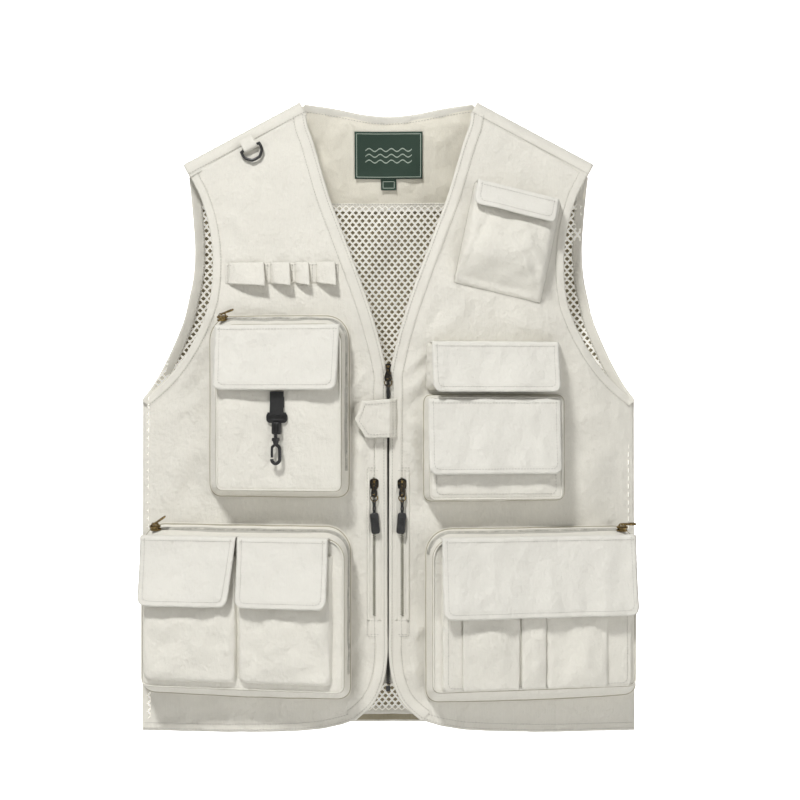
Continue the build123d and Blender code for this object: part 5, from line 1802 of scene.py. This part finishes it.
def make_finishes():
    """Every material, made once."""
    cloth, metal = bpy.context.scene.vest_cloth, bpy.context.scene.vest_hardware
    canvas, black, brass = tuple(cloth.canvas), tuple(metal.black), tuple(metal.brass)
    finishes["canvas"] = woven("stone canvas", canvas)
    finishes["canvas_trim"] = woven("folded canvas", canvas, crinkle=0.0016, tone=0.03)
    # Painted shade: a darker copy of the canvas, for the shaded inside of the back and the grooves beside
    # the piping.
    finishes["painted_shade_canvas"] = woven("canvas in shade", shaded(canvas, 0.5, 0.46, 0.36))
    # Painted light: pockets and flaps are lighter copies of the canvas, for the light they catch.
    finishes["pocket_canvas_painted_light"] = woven("pocket canvas with painted light", tuple(cloth.pocket), tone=0.04)
    finishes["flap_canvas_painted_light"] = woven("flap canvas with painted light", tuple(cloth.flap), crinkle=0.0022, tone=0.03)
    finishes["lining"] = woven("plain lining", tuple(cloth.lining), pitch=0.4, weave=0.00004,
                               crinkle=0.0012)
    # Painted glow: the mesh emits a little of its colour, standing in for light shining through it.
    finishes["mesh"] = woven("knitted mesh", tuple(cloth.mesh), pitch=0.9, weave=0.00018,
                             crinkle=0.0003, painted_glow=0.24)
    finishes["tape"] = woven("zip tape", shaded(canvas, 0.72), pitch=0.8, weave=0.00015, crinkle=0.0003)
    # Painted shade: the thread is darker than the cloth, standing in for the shade of the seams it lies in.
    finishes["thread"] = woven("sewing thread with painted seam shade", shaded(canvas, 0.62), pitch=0.3, weave=0.00006,
                               crinkle=0.0002)
    finishes["coil"] = moulded("stone coil teeth", shaded(canvas, 0.62), 0.4)
    finishes["welt_coil"] = moulded("olive coil teeth", shaded(canvas, 0.3, 0.3, 0.25), 0.4)
    finishes["black_coil"] = moulded("black coil teeth", shaded(black, 2.2), 0.4)
    finishes["black_plastic"] = moulded("black moulded plastic", black, 0.36)
    finishes["rubber"] = moulded("black rubber", shaded(black, 1.3), 0.5, 0.00012)
    finishes["cord"] = ribbed("black braided cord", shaded(black, 1.2), 0.9)
    finishes["webbing"] = ribbed("black webbing", shaded(black, 1.2), 1.1)
    finishes["black_metal"] = plated("black plated metal", shaded(black, 1.5), shaded(brass, 0.5), 0.4, 0.6)
    finishes["brass"] = plated("antique brass", brass, shaded(brass, 2.6), 0.36)
    finishes["pile"] = pile("touch fastener", shaded(canvas, 0.85))
    for node in ("neck_label", "size_label"):
        finishes[node] = label_weave(node, tuple(cloth.label), (0.42, 0.5, 0.42), *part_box(node))
    finishes["stage"] = plain_stage("studio white", (0.93, 0.93, 0.93), 1.15)


def build_stage():
    """A pale floor and backdrop, soft lights and the camera."""
    stage = bpy.context.scene.vest_stage
    scene = bpy.context.scene
    middle = Vector((0.012765, 0.0, -0.3308))
    data = bpy.data.cameras.new("camera")
    data.sensor_width = 36.0
    data.lens = data.sensor_width * stage.distance / stage.view_width
    camera = bpy.data.objects.new("camera", data)
    camera.location = middle + Vector((0, -stage.distance, 0))
    camera.rotation_euler = (pi / 2, 0, 0)
    scene.collection.objects.link(camera)
    scene.camera = camera

    def sweep(u, v):
        x = -4 + 8 * u
        d = v * 9.0
        if d < 4.2:
            return Vector((x, -3 + d, -1.15))
        if d < 5.77:
            a = d - 4.2
            return Vector((x, 1.2 + sin(a), -1.15 + 1 - cos(a)))
        return Vector((x, 2.2, -0.15 + d - 5.77))

    bm = grid(8, 60, sweep)
    mesh = bpy.data.meshes.new("backdrop")
    bm.to_mesh(mesh)
    bm.free()
    backdrop = bpy.data.objects.new("backdrop", mesh)
    mesh.materials.append(finishes["stage"])
    for face in mesh.polygons:
        face.use_smooth = True
    scene.collection.objects.link(backdrop)
    world = bpy.data.worlds.new("studio")
    world.use_nodes = True
    ground = world.node_tree.nodes["Background"]
    ground.inputs["Color"].default_value = (1.0, 0.97, 0.9, 1.0)
    seen = world.node_tree.nodes.new("ShaderNodeLightPath").outputs["Is Camera Ray"]
    light = world.node_tree.nodes.new("ShaderNodeMath")
    light.operation = "MAXIMUM"
    light.inputs[1].default_value = stage.fill
    world.node_tree.links.new(seen, light.inputs[0])
    world.node_tree.links.new(light.outputs[0], ground.inputs["Strength"])
    scene.world = world
    scene.view_settings.view_transform = "Standard"
    lamps = [
        ("key", (-1.15, -2.4, 2.9), 0.66, stage.key), ("fill", (1.9, -2.2, -0.3), 1.8, stage.key * 0.15),
        ("rim", (-1.9, -0.9, -0.1), 0.9, stage.key * 0.02), ("back", (0, 1.4, 0.6), 1.4, stage.key * 0.03),
    ]
    for name, place, size, power in lamps:
        light = bpy.data.lights.new(name, "AREA")
        light.shape = "DISK"
        light.size = size
        light.energy = power
        lamp = bpy.data.objects.new(name, light)
        lamp.location = place
        aim = Vector((0, 0, -0.35)) - Vector(place)
        if name == "back":
            aim = Vector((0, 1, -0.2))
        lamp.rotation_euler = aim.to_track_quat("-Z", "Y").to_euler()
        scene.collection.objects.link(lamp)


def operator(idname, label, doc, *builders):
    """An operator class that runs the functions which build a group of pieces."""

    def execute(self, context):
        for builder in builders:
            builder()
        return {"FINISHED"}

    return type("VEST_OT_" + idname, (bpy.types.Operator,), {
        "bl_idname": "vest." + idname, "bl_label": label, "__doc__": doc, "execute": execute,
    })


OPERATORS = [
    operator("finishes", "Finishes", "Make every material", make_finishes),
    operator("fronts", "Fronts", "Both fronts' outer cloth", build_fronts),
    operator("back", "Back", "The back, its yoke lining and its mesh lining",
             build_back, build_yoke, build_mesh_lining),
    operator("edges", "Edges", "Facings, bindings and shoulder bands", build_edges, build_shoulders),
    operator("labels", "Labels", "The neck label and the size tab", build_labels),
    operator("main_zip", "Main zip", "The front zip and its slider", build_main_zip),
    operator("welts", "Welt pockets", "Both welt pockets with their zips", build_welts),
    operator("chest_box", "Chest box", "The right chest pocket", build_chest_box),
    operator("hook", "Snap hook", "The webbing, buckle and snap hook",
             build_webbing, build_buckle, build_hook),
    operator("right_cargo", "Right cargo", "The right cargo pocket", build_right_cargo),
    operator("left_cargo", "Left cargo", "The left cargo pocket", build_left_cargo),
    operator("double_pocket", "Double pocket", "The double chest pocket", build_double_pocket),
    operator("slanted_pocket", "Slanted pocket", "The slanted chest pocket", build_slanted_pocket),
    operator("tool_loops", "Tool loops", "The strip of tool loops", build_tool_loops),
    operator("ring", "D-ring", "The ring and its tab", build_ring),
    operator("placket_tab", "Placket tab", "The tab over the main zip", build_placket_tab),
    operator("sheets", "Sheets", "Say which pieces are sheets of cloth", declare_sheets),
    operator("fasteners", "Touch fasteners", "The patches under the flaps", dress_hidden_nodes),
    operator("stage", "Stage", "Floor, lights and camera", build_stage),
]


SETTINGS = {"vest_sizes": VestSizes, "vest_cloth": VestCloth, "vest_hardware": VestHardware,
            "vest_stage": VestStage}


class VEST_PT_panel(bpy.types.Panel):
    """The vest's settings and the steps that build it."""

    bl_label = "Fishing vest"
    bl_space_type = "VIEW_3D"
    bl_region_type = "UI"
    bl_category = "Vest"

    def draw(self, context):
        for group in SETTINGS:
            settings = getattr(context.scene, group)
            for key in settings.__annotations__:
                self.layout.prop(settings, key)
        for step in OPERATORS:
            self.layout.operator(step.bl_idname)


CLASSES = [*SETTINGS.values(), *OPERATORS, VEST_PT_panel]


def register():
    for cls in CLASSES:
        bpy.utils.register_class(cls)
    for group, kind in SETTINGS.items():
        setattr(bpy.types.Scene, group, bpy.props.PointerProperty(type=kind))


def unregister():
    for group in SETTINGS:
        delattr(bpy.types.Scene, group)
    for cls in reversed(CLASSES):
        bpy.utils.unregister_class(cls)


def main():
    register()
    for step in OPERATORS:
        getattr(bpy.ops.vest, step.bl_idname.split(".")[1])()


if __name__ == "__main__":
    main()
